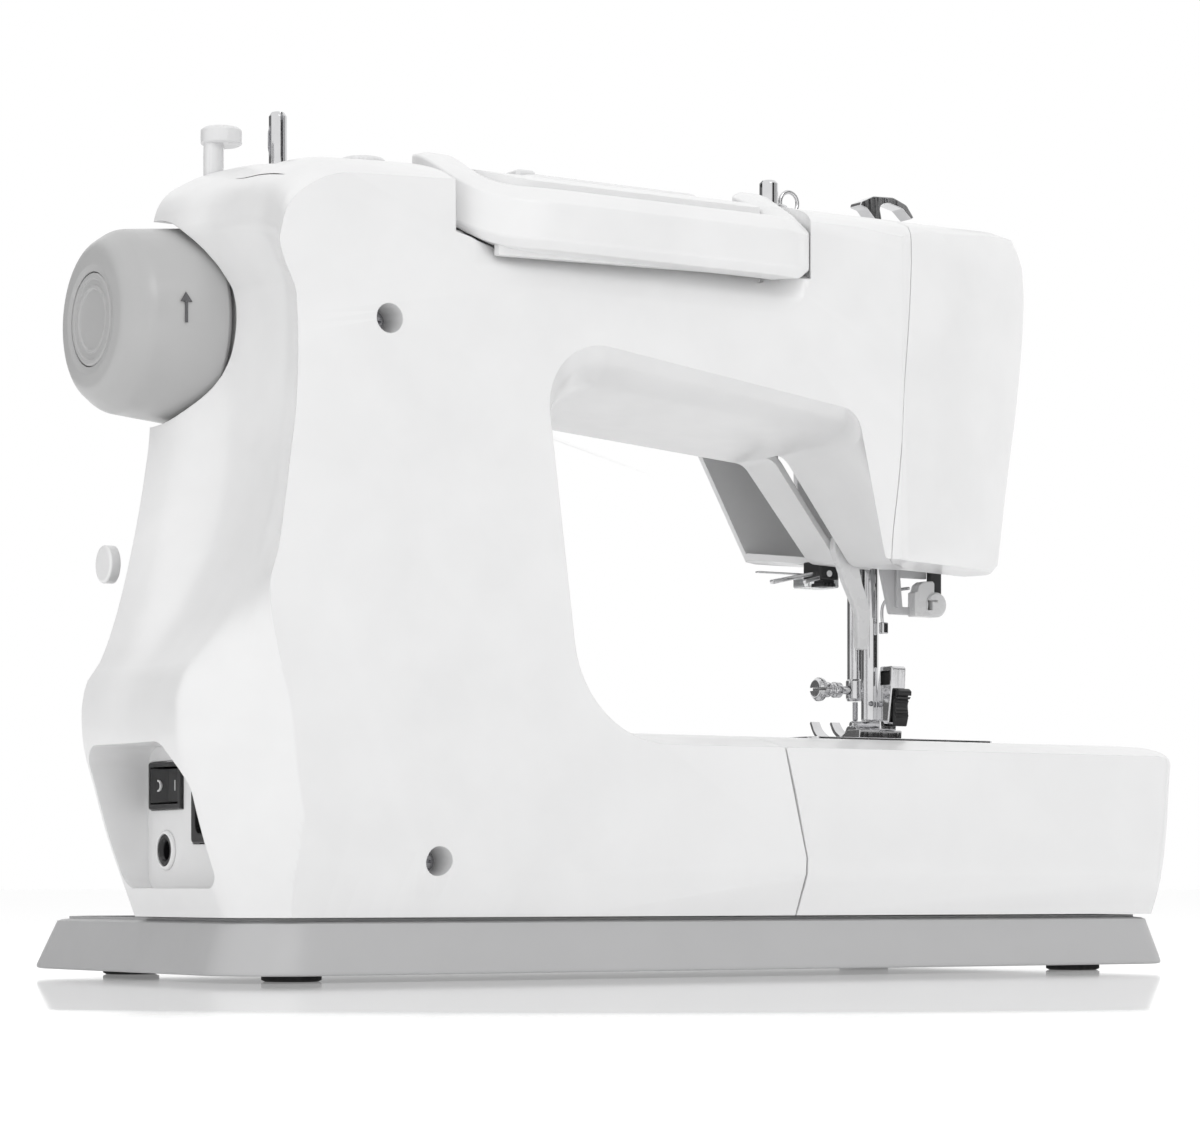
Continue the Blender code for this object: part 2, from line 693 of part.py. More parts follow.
def extension_table():
    stations = [(d, d) for d in (FRONT_Y, -81, -76, -60, -40, 0, 40, 60, 76, 81, BACK_Y)]
    table = casing_solid("extension_table", table_corners, stations)
    cut(table, skirt_cutter("table_skirt"))
    slot_low = (ARM_X - 0.6, ARM_Y[0] - 0.6, 10)
    cut(table, box("table_slot", slot_low, (0, ARM_Y[1] + 0.6, 100)))
    cut(table, box("table_under_back", (-184, ARM_Y[1] + 3, 10), (-32, 75.5, 72)))
    cut(table, box("table_under_end", (-184, -50, 10), (-171.2, ARM_Y[1] + 5, 76)))
    cut(table, box("table_store", (-182, -90, LID_HINGE_Z - 2.2), (-34, -55.5, 72)))
    return table


def table_lid():
    lid = box(
        "table_lid", (-181.6, -83.6, LID_HINGE_Z + 1), (-34.4, -81.4, 71.6), "white_shell",
        (-108, LID_HINGE_Y, LID_HINGE_Z),
    )
    join(lid, rod("lid_barrel", "X", (-181.6, LID_HINGE_Y, LID_HINGE_Z), 147.2, 1.7, "white_shell", 12))
    return lid


# ---------------------------------------------------------------- frame and drive
SHAFT_R = 5.0
LOWER_R = 4.0
CRANK = 15.0
TIMING_X = (112.0, 120.0)
TIMING_R = 13.0
MOTOR_BELT_X = (139.0, 146.0)
DRIVEN_R = 28.0
MOTOR_Y, MOTOR_Z, MOTOR_R, MOTOR_PULLEY_R = -48.0, 56.0, 20.0, 6.0
PLATE_Y = (25.5, 30.5)
HOOK_GEAR_R = 8.3
LOWER_GEAR_R = 16.4


def frame_casting():
    """The C-shaped frame plate with its bearing blocks and bar guides."""
    outline = [
        (-155, 34), (150, 34), (150, 175), (130, 175), (130, 240), (-128, 240), (-128, 150), (-102, 150),
        (-102, 198), (84, 198), (84, 60), (-155, 60),
    ]
    frame = prism("frame_casting", "Y", outline, PLATE_Y[0], PLATE_Y[1], "casting")
    reach = PLATE_Y[0] + 1
    join(
        frame, box("bearing_head", (-88, -8, 201), (-76, reach, 218)),
        box("bearing_pillar", (96, -8, 201), (106, reach, 218)),
    )
    join(
        frame, box("bearing_arm", (-60, -7, 38), (-50, reach, 54)),
        box("bearing_bed", (96, -7, 38), (106, reach, 54)),
    )
    join(
        frame, box("guide_top", (-121, -14, 214), (-109, reach, 220)),
        box("guide_low", (-121, -14, 150), (-109, reach, 157)),
    )
    join(frame, box("motor_cradle", (60, -66, 28), (74, PLATE_Y[1], 35.4)))
    cut(frame, rod("bore_upper", "X", (-95, 0, WHEEL_Z), 210, SHAFT_R + 0.3, "casting"))
    cut(frame, rod("bore_lower", "X", (-70, 0, LOWER_SHAFT_Z), 190, LOWER_R + 0.3, "casting"))
    cut(frame, rod("bore_presser", "Z", (NEEDLE_X, 0, 145), 90, PRESSER_BAR_R + 0.3, "casting"))
    cut(frame, rod("bore_needle", "Z", (NEEDLE_X, NEEDLE_Y, 145), 90, NEEDLE_BAR_R + 0.3, "casting"))
    return frame


def upper_shaft():
    centre = (0, 0, WHEEL_Z)
    profile = [
        (-100, 17), (-95, 17), (-95, SHAFT_R), (TIMING_X[0], SHAFT_R), (TIMING_X[0], TIMING_R),
        (TIMING_X[1], TIMING_R), (TIMING_X[1], SHAFT_R), (MOTOR_BELT_X[0], SHAFT_R),
        (MOTOR_BELT_X[0], DRIVEN_R), (MOTOR_BELT_X[1], DRIVEN_R), (MOTOR_BELT_X[1], SHAFT_R), (187.5, SHAFT_R),
    ]
    shaft = turned("upper_shaft", "X", centre, profile, "steel", 20)
    join(shaft, rod("crank_pin", "X", (-107.3, 0, WHEEL_Z - CRANK), 9, 2.6, "steel", 12))
    return shaft


def needle_link():
    """From the crank pin down towards the needle bar, drawn for the needle at its lowest."""
    z = WHEEL_Z - CRANK
    outline = filleted([(-5, z + 5, 4), (5, z + 5, 4), (4, z - 34, 3.5), (-4, z - 34, 3.5)], 3)
    link = prism("needle_link", "X", outline, -107, -104, "steel", (-105.5, 0, z))
    cut(link, rod("link_hole", "X", (-120, 0, z), 30, 2.9, "steel", 12))
    return link


def lower_shaft():
    profile = [
        (-122, LOWER_R), (-119, LOWER_R), (-119, LOWER_GEAR_R), (-111, LOWER_GEAR_R), (-111, LOWER_R),
        (TIMING_X[0], LOWER_R), (TIMING_X[0], TIMING_R), (TIMING_X[1], TIMING_R),
    ]
    return turned("lower_shaft", "X", (0, 0, LOWER_SHAFT_Z), profile, "steel", 20)


def belt_outline(first, r1, second, r2, steps=10):
    """The outline, as (y, z), of a belt around two pulleys. The first centre is the upper one."""
    a, b = Vector(first), Vector(second)
    down = math.atan2((b - a).y, (b - a).x)
    lean = math.acos((r1 - r2) / (b - a).length)
    points = []
    for k in range(steps + 1):
        turn = down + lean + (2 * math.pi - 2 * lean) * k / steps
        points.append((a.x + r1 * math.cos(turn), a.y + r1 * math.sin(turn)))
    for k in range(steps + 1):
        turn = down - lean + 2 * lean * k / steps
        points.append((b.x + r2 * math.cos(turn), b.y + r2 * math.sin(turn)))
    return points


def belt(name, x0, x1, first, r1, second, r2):
    ring = prism(name, "X", belt_outline(first, r1 + 2, second, r2 + 2), x0, x1, "rubber")
    flats = math.cos(math.radians(10))  # keeps the flats of the inner outline off the pulleys
    inside = belt_outline(first, (r1 + GAP) / flats, second, (r2 + GAP) / flats)
    cut(ring, prism(f"{name}_inside", "X", inside, x0 - 5, x1 + 5, "rubber"))
    return ring


def motor():
    body = turned(
        "motor_body", "X", (58, MOTOR_Y, MOTOR_Z), [(0, 17), (3, MOTOR_R), (65, MOTOR_R), (68, 17)],
        "casting", 20,
    )
    cut(body, rod("motor_bore", "X", (108, MOTOR_Y, MOTOR_Z), 30, 2.8, "casting", 12))
    profile = [
        (110, 2.5), (139.4, 2.5), (139.4, MOTOR_PULLEY_R), (145.6, MOTOR_PULLEY_R), (145.6, 2.5),
        (148, 2.5),
    ]
    turned("motor_shaft", "X", (0, MOTOR_Y, MOTOR_Z), profile, "steel", 14)


def drive():
    upper_shaft()
    needle_link()
    lower_shaft()
    upper, lower, small = (0, WHEEL_Z), (0, LOWER_SHAFT_Z), (MOTOR_Y, MOTOR_Z)
    belt("timing_belt", TIMING_X[0] + 0.5, TIMING_X[1] - 0.5, upper, TIMING_R, lower, TIMING_R)
    belt("motor_belt", MOTOR_BELT_X[0] + 0.7, MOTOR_BELT_X[1] - 0.7, upper, DRIVEN_R, small, MOTOR_PULLEY_R)
    motor()


def handwheel():
    centre = (0, 0, WHEEL_Z)
    profile = [
        (156.2, 28), (157.6, WHEEL_R - 0.1), (182, WHEEL_R - 0.1), (187, 30.2), (190.4, 27),
        (WHEEL_X, 23.8),
    ]
    wheel = turned("handwheel", "X", centre, profile, "grey_wheel", 32)
    cut(wheel, rod("wheel_bore", "X", (150, 0, WHEEL_Z), 60, SHAFT_R + 0.3, "grey_wheel", 16))
    cut(wheel, rod("wheel_pit", "X", (188.6, 0, WHEEL_Z), 10, 15.1, "grey_wheel", 24))
    turned(
        "wheel_cap", "X", centre, [(188.9, 14.8), (WHEEL_X - 0.4, 14.8), (WHEEL_X, 14.2)],
        "grey_wheel", 24,
    )


# ---------------------------------------------------------------- sewing parts
def needle_parts():
    bar = turned(
        "needle_bar", "Z", (NEEDLE_X, NEEDLE_Y, 0),
        [(97, 4.0), (107, 4.0), (107, NEEDLE_BAR_R), (226, NEEDLE_BAR_R)], "chrome", 16,
    )
    join(bar, box("needle_clamp", (NEEDLE_X - 3, NEEDLE_Y - 4, 157.5), (-107.5, NEEDLE_Y + 3.5, 164.5)))
    cut(bar, rod("clamp_hole", "X", (NEEDLE_X + 2, NEEDLE_Y, 101), 10, 1.8, "chrome", 12))
    profile = [(NEEDLE_X + 2.4, 1.5), (-100, 1.5), (-100, 4), (-99.4, 4.4), (-97.4, 4.4), (-97, 4)]
    screw = turned("clamp_screw", "X", (0, NEEDLE_Y, 101), profile, "chrome", 16)
    cut(screw, box("clamp_screw_slot", (-98.2, NEEDLE_Y - 6, 100.4), (-90, NEEDLE_Y + 6, 101.6)))
    profile = [(70, 0.15), (73, 0.45), (89, 0.45), (90, 1.0), (96.7, 1.0)]
    turned("needle", "Z", (NEEDLE_X, NEEDLE_Y, 0), profile, "steel", 8)


def presser_parts():
    bar = rod("presser_bar", "Z", (NEEDLE_X, 0, 93.5), 142, PRESSER_BAR_R, "chrome")
    join(bar, box("presser_bracket", (NEEDLE_X - 5, -4.5, 174), (NEEDLE_X + 5, 17, 182)))
    ankle = prism(
        "foot_ankle", "X", [(-4.5, 86), (5.2, 86), (6.4, 92), (6.4, 110), (-4.5, 110)],
        NEEDLE_X - 4, NEEDLE_X + 4, "chrome",
    )
    cut(ankle, rod("ankle_bore", "Z", (NEEDLE_X, 0, 93), 30, PRESSER_BAR_R + 0.3, "chrome"))
    cut(ankle, box("ankle_fork", (NEEDLE_X - 8, -1.2, 80), (NEEDLE_X + 8, 2.8, 90.4)))
    release = prism(
        "foot_release", "X", [(7, 90), (9.5, 89), (12, 96), (9, 108), (7, 108)], NEEDLE_X - 3,
        NEEDLE_X + 3, "black_plastic", (NEEDLE_X, 8, 103),
    )
    presser_foot()
    return release


FOOT_PIN = (NEEDLE_X, 0.8, 88.0)


def presser_foot():
    z = PLATE_Z[1] + 0.3
    half = 9.5
    outline = [
        (-26, z + 6.2), (-24.6, z + 2.6), (-21, z), (3, z), (8, z + 1.4), (8, z + 3.2), (4, z + 2.2),
        (-20, z + 2.2),
        (-23.4, z + 4), (-25, z + 6.8),
    ]
    foot = prism("presser_foot", "X", outline, NEEDLE_X - half, NEEDLE_X + half, "chrome", FOOT_PIN)
    cut(foot, box("toe_gap", (NEEDLE_X - 2.6, -40, 70), (NEEDLE_X + 2.6, -5.6, 100)))
    for i, side in enumerate((-1, 1)):
        x0, x1 = sorted((NEEDLE_X + side * 5, NEEDLE_X + side * 7))
        join(
            foot,
            prism(
                f"foot_ear_{i}", "X",
                [(-3, z + 1.8), (4.6, z + 1.8), (3.2, z + 7.6), (-1.6, z + 7.6)], x0, x1, "chrome",
            ),
        )
    join(foot, rod("foot_pin", "X", (NEEDLE_X - 6, 0.8, 88), 12, 1.3, "chrome", 10))
    return foot


LIFTER_PIVOT = (-100.0, 22.0, 177.0)


def presser_lifter():
    x, y, z = LIFTER_PIVOT
    outline = [
        (x - 7, z), (x - 5, z + 5), (x, z + 7), (x + 5, z + 5), (x + 7, z), (-88, 158), (-84.5, 150),
        (-93.5, 137),
        (-96.3, 128), (-95.5, 114.5), (-97, 113.5), (-101.6, 113.5), (-103, 114.5), (-105.2, 128),
        (-101.5, 137), (-96, 150),
    ]
    blade = prism("presser_lifter", "Y", outline, y - 2, y + 2, "white_knob", LIFTER_PIVOT)
    cut(blade, rod("lifter_hole", "Y", (x, 0, z), 40, 2.5, "white_knob", 12))
    return blade


def take_up_lever():
    outline = [
        (-28, 191), (-20, 191), (-19, 199), (-43, 240), (-48, 241.5), (-50.5, 238.5), (-48, 232),
        (-31, 200),
    ]
    lever = prism(
        "take_up_lever", "X", outline, NEEDLE_X - 1.2, NEEDLE_X + 1.2, "chrome",
        (NEEDLE_X, -24, 196),
    )
    cut(lever, rod("take_up_eye", "X", (-140, -46.6, 237.5), 50, 1.5, "chrome", 10))
    cut(lever, rod("take_up_bore", "X", (-140, -24, 196), 50, 2, "chrome", 10))
    return lever


THREADER_X, THREADER_Y = -131.0, 19.0


def head_small_parts():
    x, y = THREADER_X, THREADER_Y
    knob = rod("needle_threader", "Z", (x, y, 136), 56, 2.2, "black_plastic", 12)
    profile = [(y - 4, 5.0), (y - 3.4, 5.6), (y + 3.4, 5.6), (y + 4, 5.0)]
    join(knob, turned("threader_knob", "Y", (x, 0, 131.5), profile, "white_knob", 20))
    cut(knob, box("threader_slot", (x - 12, y + 1.5, 130.6), (x + 8, y + 14, 132.4)))
    outline = [(-113, 149.4), (-104.2, 149.4), (-108.6, 133), (-109.4, 128), (-114.4, 129.6)]
    lever = prism("buttonhole_lever", "Y", outline, 15, 17, "grey_lever")
    join(lever, box("buttonhole_link", (-118.6, 15.2, 129.4), (-112, 16.8, 132)))
    cutter = box("thread_cutter", (-103, -12, 135.6), (-95, -2, 139.2), "black_plastic")
    join(
        cutter, box("cutter_blade", (-96, -10.5, 136.4), (-76, -8.5, 137.8)),
        box("cutter_prong", (-96, -5, 136.4), (-80, -3.5, 137.8)),
    )
    box("lamp", (-122, -37, 139.8), (-108, -25, 144.5), "clear_lens")


def hook():
    profile = [
        (38, 3.6), (42, 3.6), (42, HOOK_GEAR_R), (50, HOOK_GEAR_R), (50, 3.6), (60, 3.6), (60, 15.8),
        (76.5, 15.8),
    ]
    cup = turned("hook", "Z", (NEEDLE_X, HOOK_Y, 0), profile, "steel", 20)
    cut(cup, rod("hook_inside", "Z", (NEEDLE_X, HOOK_Y, 63), 30, 12.6, "steel", 20))
    profile = [(63.4, 10.2), (64.4, 10.2), (64.4, 4), (74.4, 4), (74.4, 10.2), (75.4, 10.2)]
    bobbin = turned("bobbin", "Z", (NEEDLE_X, HOOK_Y, 0), profile, "clear_lens", 16)
    cut(bobbin, rod("bobbin_bore", "Z", (NEEDLE_X, HOOK_Y, 60), 30, 2.8, "clear_lens", 12))


# ---------------------------------------------------------------- handle and controls
def carry_handle():
    x0, x1 = HANDLE_X
    pivot = (38, HANDLE_PIVOT_Y, HANDLE_PIVOT_Z)
    grip = [(80, 231), (83, 229), (92, 229), (95, 232), (95, 243), (91, 248.5), (84, 250), (80, 248)]
    handle = prism("carry_handle", "X", grip, x0, x1, "white_shell", pivot)
    arm = [
        (56.5, 250), (58, 256), (64, 257.5), (78, 253), (86, 249), (86, 240), (81, 236),
        (64, 243.5), (59, 245),
    ]
    join(handle, prism("handle_arm_left", "X", arm, x0, x0 + HANDLE_ARM, "white_shell"))
    join(handle, prism("handle_arm_right", "X", arm, x1 - HANDLE_ARM, x1, "white_shell"))
    return handle


def front_controls():
    for name, x, z, radius, height in DIALS:
        face = ARM_FRONT_Y - 0.4
        profile = [
            (face - height, radius - 1.2), (face - height + 1.5, radius), (face, radius), (face, 4),
            (-45, 4),
        ]
        dial = turned(name, "Y", (x, 0, z), profile, "white_knob", 24, (x, face, z))
        cut(
            dial,
            box(
                f"{name}_mark", (x - 0.6, face - height - 5, z + radius * 0.35),
                (x + 0.6, face - height + 0.5, z + radius + 3),
            ),
        )
    outline = [(-66, 131), (-50, 129.5), (-44.5, 131), (-44.5, 139), (-50, 140), (-66, 136)]
    prism("reverse_lever", "X", outline, REVERSE_X - 7, REVERSE_X + 7, "white_knob", (REVERSE_X, -46.5, 135))


def top_fittings():
    turned(
        "winder_spindle", "Z", (124.6, 0, 0),
        [(246, 2.6), (263.4, 2.6), (263.4, 4.4), (265.4, 4.4), (265.4, 3), (282, 3), (283, 2.2)],
        "chrome", 16,
    )
    stop = rod("winder_stop", "Z", (145, 0, 250), 19, 3.1, "white_knob", 16)
    join(
        stop,
        turned(
            "stop_head", "Z", (143.5, 0, 0), [(268.4, 6.2), (269, 6.8), (273.6, 6.8), (274.4, 6)],
            "white_knob", 20,
        ),
    )
    turned(
        "top_dial", "Z", (TOP_DIAL_X, 0, 0),
        [(250, 3.7), (263.5, 3.7), (263.5, 9.9), (271.2, 9.9), (272, 9)], "white_knob", 24,
    )
    profile = [
        (250, 2.7), (263.6, 2.7), (263.6, 5.4), (267.4, 5.4), (268, 6.4), (269.4, 6.4), (270, 3.4),
        (271, 3.4), (271.6, 6.4), (273, 6.4), (273.6, 3), (281, 3),
    ]
    turned("winder_tension", "Z", (*TENSION_AT, 0), profile, "chrome", 16)
    x = GUIDE_X
    guide = rod("thread_guide", "Z", (x, 0, 250), 22, 2.1, "chrome", 12)
    outline = [
        (x - 3, 268.5), (x + 3, 268.5), (x + 3, 275), (x + 7, 273), (x + 9, 275), (x + 4, 279.6),
        (x - 5, 280.2), (x - 13, 277), (x - 16, 272.6), (x - 11, 275), (x - 3, 277),
    ]
    join(guide, prism("guide_hook", "Y", outline, -3, 3, "chrome"))
    pin = turned("spool_pin", "X", (0, 0, 270.5), [(-27, 1.6), (-25.6, 2.6), (30, 2.6)], "white_knob", 14)
    join(pin, box("spool_pin_base", (28, -5, 263.5), (36, 5, 273.4)))


def sockets():
    x = RECESS_FLOOR_X
    frame = box(
        "switch_frame", (x - 10, SWITCH_Y[0], SWITCH_Z[0]), (x + 1, SWITCH_Y[1], SWITCH_Z[1]),
        "black_plastic",
    )
    cut(
        frame,
        box(
            "switch_opening", (x - 8, SWITCH_Y[0] + 1.6, SWITCH_Z[0] + 1.6),
            (x + 6, SWITCH_Y[1] - 1.6, SWITCH_Z[1] - 1.6),
        ),
    )
    middle = (SWITCH_Y[0] + SWITCH_Y[1]) / 2
    low, high = SWITCH_Z[0] + 2, SWITCH_Z[1] - 2
    half = (SWITCH_Y[1] - SWITCH_Y[0]) / 2 - 2.4
    outline = [
        (x - 5, middle - half), (x + 2.2, middle - half + 0.8), (x - 0.4, middle),
        (x - 0.6, middle + half - 0.6), (x - 5, middle + half),
    ]
    prism("power_switch", "Z", outline, low, high, "black_plastic", (x - 4, middle, (low + high) / 2))
    inlet = box(
        "inlet_body", (x - 12, INLET_Y[0], INLET_Z[0]), (x + 0.8, INLET_Y[1], INLET_Z[1]),
        "black_plastic",
    )
    cut(
        inlet,
        box("inlet_mouth", (x - 9, INLET_Y[0] + 3, INLET_Z[0] + 3), (x + 9, INLET_Y[1] - 3, INLET_Z[1] - 3)),
    )
    for i, y in enumerate((40.5, 50.5)):
        join(inlet, rod(f"inlet_pin_{i}", "X", (x - 10, y, 52.5), 8, 1.2, "steel", 8))
    jack = rod("jack_body", "X", (x - 12, JACK_Y, JACK_Z), 12.8, JACK_R, "black_plastic", 16)
    cut(jack, rod("jack_bore", "X", (x - 9, JACK_Y, JACK_Z), 20, 3.2, "black_plastic", 12))


def small_parts():
    turned("round_cap", "X", (0, -20, 134), [(174.5, 6.2), (177.6, 6.2), (178, 5.8)], "white_shell", 16)
    for i, (x, z) in enumerate(SCREW_WELLS):
        profile = [(66, 1.6), (72.4, 1.6), (72.4, 3.8), (74.6, 3.6)]
        turned(f"case_screw_{i + 1}", "Y", (x, 0, z), profile, "steel", 12)
    box("circuit_board", (72, 60, 92), (126, 61.6, 160), "grey_base")


def main():
    clear_scene()
    rear_cover()
    front_cover()
    face_cover()
    base_plate()
    feet()
    free_arm()
    needle_plate()
    bobbin_cover()
    feed_dog()
    extension_table()
    table_lid()
    frame_casting()
    drive()
    handwheel()
    needle_parts()
    presser_parts()
    presser_lifter()
    take_up_lever()
    head_small_parts()
    hook()
    carry_handle()
    front_controls()
    top_fittings()
    sockets()
    small_parts()


main()
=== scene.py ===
"""The looks of the free-arm sewing machine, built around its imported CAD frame.

Shapes are drawn in millimetres in the CAD's own drawing frame, whose Y is 0 at the drive shafts, and
moved into the row frame by shift_y when a mesh is made. Places come from the CAD nodes' boxes.
"""

import json
import math

import bmesh
import bpy
from mathutils import Matrix, Vector


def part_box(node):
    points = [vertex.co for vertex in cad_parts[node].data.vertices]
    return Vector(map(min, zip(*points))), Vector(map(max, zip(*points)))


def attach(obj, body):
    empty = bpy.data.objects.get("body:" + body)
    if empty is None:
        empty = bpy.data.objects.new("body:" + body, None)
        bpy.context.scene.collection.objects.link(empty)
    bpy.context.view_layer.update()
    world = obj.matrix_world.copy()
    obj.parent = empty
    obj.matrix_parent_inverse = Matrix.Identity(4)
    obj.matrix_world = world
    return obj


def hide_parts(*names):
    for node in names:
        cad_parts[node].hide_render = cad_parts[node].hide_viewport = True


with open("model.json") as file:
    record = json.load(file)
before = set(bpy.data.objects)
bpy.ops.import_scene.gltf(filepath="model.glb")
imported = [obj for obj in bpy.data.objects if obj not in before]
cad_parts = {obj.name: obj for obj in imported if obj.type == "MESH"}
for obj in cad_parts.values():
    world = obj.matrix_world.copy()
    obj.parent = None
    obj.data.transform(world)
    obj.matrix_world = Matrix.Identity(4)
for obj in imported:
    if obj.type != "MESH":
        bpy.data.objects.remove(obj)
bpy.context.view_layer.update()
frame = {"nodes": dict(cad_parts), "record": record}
MM = 0.001

# ---------------------------------------------------------------- places, in millimetres, from the frame


def low(node):
    return [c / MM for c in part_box(node)[0]]


def high(node):
    return [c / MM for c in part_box(node)[1]]


def middle(node):
    return [(a + b) / 2 for a, b in zip(low(node), high(node))]


SHIFT_Y = middle("upper_shaft")[1]  # the drive shaft's Y in the row frame


def span(node, axis):
    """A node's two ends along X, Y or Z, in drawing millimetres."""
    i = "XYZ".index(axis)
    shift = SHIFT_Y if axis == "Y" else 0.0
    return low(node)[i] - shift, high(node)[i] - shift


GAP = 0.3
WALL = 2.4

BODY_Z0 = low("rear_cover")[2]
BASE_Z = span("base_plate", "Z")
CREASE_Z = 33.8
SKIRT_LEAN = 5.5
BED_Z = high("free_arm")[2]
BED_EDGE_Z = BED_Z - 5.2
BACK_Y = high("rear_cover")[1] - SHIFT_Y
FRONT_Y = -BACK_Y
ARM_FRONT_Y = low("face_cover")[1] - SHIFT_Y
HEAD_X = low("face_cover")[0]
HEAD_Z = low("face_cover")[2]

WHEEL_X = high("handwheel")[0]
WHEEL_Z = middle("handwheel")[2]
WHEEL_R = (high("handwheel")[2] - low("handwheel")[2]) / 2 + 0.1
RECESS_X = low("handwheel")[0] - 1.7
WELL_R = WHEEL_R + 1.2

NEEDLE_X = middle("needle")[0]
NEEDLE_Y = middle("needle")[1] - SHIFT_Y
PLATE_Z = span("needle_plate", "Z")
PLATE_SCREWS = ((-146, -14), (-76, -14))
TABLE_X = low("extension_table")[0]


# ---------------------------------------------------------------- materials
class Nodes:
    """A short way to write a material's node tree."""

    def __init__(self, name):
        self.material = bpy.data.materials.new(name)
        self.material.use_nodes = True
        self.tree = self.material.node_tree
        self.shader = self.tree.nodes["Principled BSDF"]
        self.place = self.tree.nodes.new("ShaderNodeTexCoord").outputs["Object"]

    def link(self, output, socket):
        self.tree.links.new(output, socket)

    def set(self, **values):
        for name, value in values.items():
            self.shader.inputs[name.replace("_", " ")].default_value = value

    def colour(self, output):
        self.link(output, self.shader.inputs["Base Color"])

    def rough(self, output):
        self.link(output, self.shader.inputs["Roughness"])

    def stretched(self, scale):
        node = self.tree.nodes.new("ShaderNodeMapping")
        node.inputs["Scale"].default_value = scale
        self.link(self.place, node.inputs["Vector"])
        return node.outputs["Vector"]

    def noise(self, scale, detail=2.0, stretch=None):
        node = self.tree.nodes.new("ShaderNodeTexNoise")
        node.inputs["Scale"].default_value = scale
        node.inputs["Detail"].default_value = detail
        self.link(self.place if stretch is None else self.stretched(stretch), node.inputs["Vector"])
        return node.outputs["Fac"]

    def ranged(self, value, low_in, high_in, low_out, high_out):
        node = self.tree.nodes.new("ShaderNodeMapRange")
        for key, number in zip(("From Min", "From Max", "To Min", "To Max"),
                               (low_in, high_in, low_out, high_out)):
            node.inputs[key].default_value = number
        self.link(value, node.inputs["Value"])
        return node.outputs["Result"]

    def ramp(self, value, colours):
        node = self.tree.nodes.new("ShaderNodeValToRGB")
        for element, (at, colour) in zip(node.color_ramp.elements, colours):
            element.position = at
            element.color = (*colour, 1.0)
        self.link(value, node.inputs["Fac"])
        return node.outputs["Color"]

    def mixed(self, share, first, second):
        node = self.tree.nodes.new("ShaderNodeMix")
        node.data_type = "RGBA"
        self.link(share, node.inputs["Factor"])
        self.link(first, node.inputs[6])
        node.inputs[7].default_value = (*second, 1.0)
        return node.outputs[2]

    def edges(self, start=0.52, end=0.62):
        """Rises on convex edges."""
        return self.ranged(self.tree.nodes.new("ShaderNodeNewGeometry").outputs["Pointiness"], start, end,
                           0.0, 1.0)

    def bumps(self, layers, edge=0.0004):
        """Bump layers of (height, strength, distance), over an edge rounded by the Bevel node."""
        rounded = self.tree.nodes.new("ShaderNodeBevel")
        rounded.samples = 4
        rounded.inputs["Radius"].default_value = edge
        normal = rounded.outputs["Normal"]
        for height, strength, distance in layers:
            node = self.tree.nodes.new("ShaderNodeBump")
            node.inputs["Strength"].default_value = strength
            node.inputs["Distance"].default_value = distance
            self.link(height, node.inputs["Height"])
            self.link(normal, node.inputs["Normal"])
            normal = node.outputs["Normal"]
        self.link(normal, self.shader.inputs["Normal"])


def moulded(name, colour, roughness, grain=0.12, coat=0.0, worn=None, edge=0.0004):
    """Injection-moulded plastic: a fine spark grain, faint cloudiness and rubbed edges."""
    n = Nodes(name)
    darker = tuple(c * 0.965 for c in colour)
    tint = n.ramp(n.noise(38, 3), ((0.35, darker), (0.65, colour)))
    n.colour(n.mixed(n.edges(), tint, worn or tuple(min(1.0, c * 1.03) for c in colour)))
    n.rough(n.ranged(n.noise(160, 4), 0.3, 0.7, roughness - 0.05, roughness + 0.06))
    n.set(Coat_Weight=coat, Coat_Roughness=0.12, IOR=1.48)
    n.bumps([(n.noise(5200, 1), grain, 0.00002), (n.noise(60, 2), 0.03, 0.0003)], edge)
    return n.material


def metal(name, colour, roughness, brushed=(1, 1, 1), scratch=0.08, edge=0.0002):
    """Bare or plated metal: drawn lines along one axis and small handling marks."""
    n = Nodes(name)
    tint = n.ramp(n.noise(90, 4), ((0.3, tuple(c * 0.86 for c in colour)), (0.7, colour)))
    n.colour(tint)
    lines = n.noise(1400, 2, brushed)
    n.rough(n.ranged(lines, 0.3, 0.7, max(0.03, roughness - 0.06), roughness + 0.08))
    n.set(Metallic=1.0)
    n.bumps([(lines, scratch, 0.00001)], edge)
    return n.material


def cast(name, colour):
    """Die-cast alloy: pitted, and dull."""
    n = Nodes(name)
    n.colour(n.ramp(n.noise(220, 5), ((0.3, tuple(c * 0.8 for c in colour)), (0.7, colour))))
    n.rough(n.ranged(n.noise(700, 3), 0.3, 0.7, 0.42, 0.66))
    n.set(Metallic=0.85)
    n.bumps([(n.noise(1500, 3), 0.35, 0.00006)])
    return n.material


def rubber(name):
    n = Nodes(name)
    n.colour(n.ramp(n.noise(400, 4), ((0.3, (0.018, 0.018, 0.019)), (0.7, (0.05, 0.05, 0.05)))))
    n.rough(n.ranged(n.noise(900, 3), 0.3, 0.7, 0.62, 0.85))
    n.bumps([(n.noise(2600, 2), 0.3, 0.00005)])
    return n.material


def lens(name):
    """Clear plastic, with faint flow lines."""
    n = Nodes(name)
    n.colour(n.ramp(n.noise(50, 2), ((0.3, (0.90, 0.93, 0.95)), (0.7, (0.97, 0.98, 0.98)))))
    n.rough(n.ranged(n.noise(300, 3), 0.3, 0.7, 0.05, 0.14))
    n.set(Transmission_Weight=0.85, IOR=1.49)
    n.bumps([(n.noise(400, 2), 0.06, 0.00005)])
    return n.material


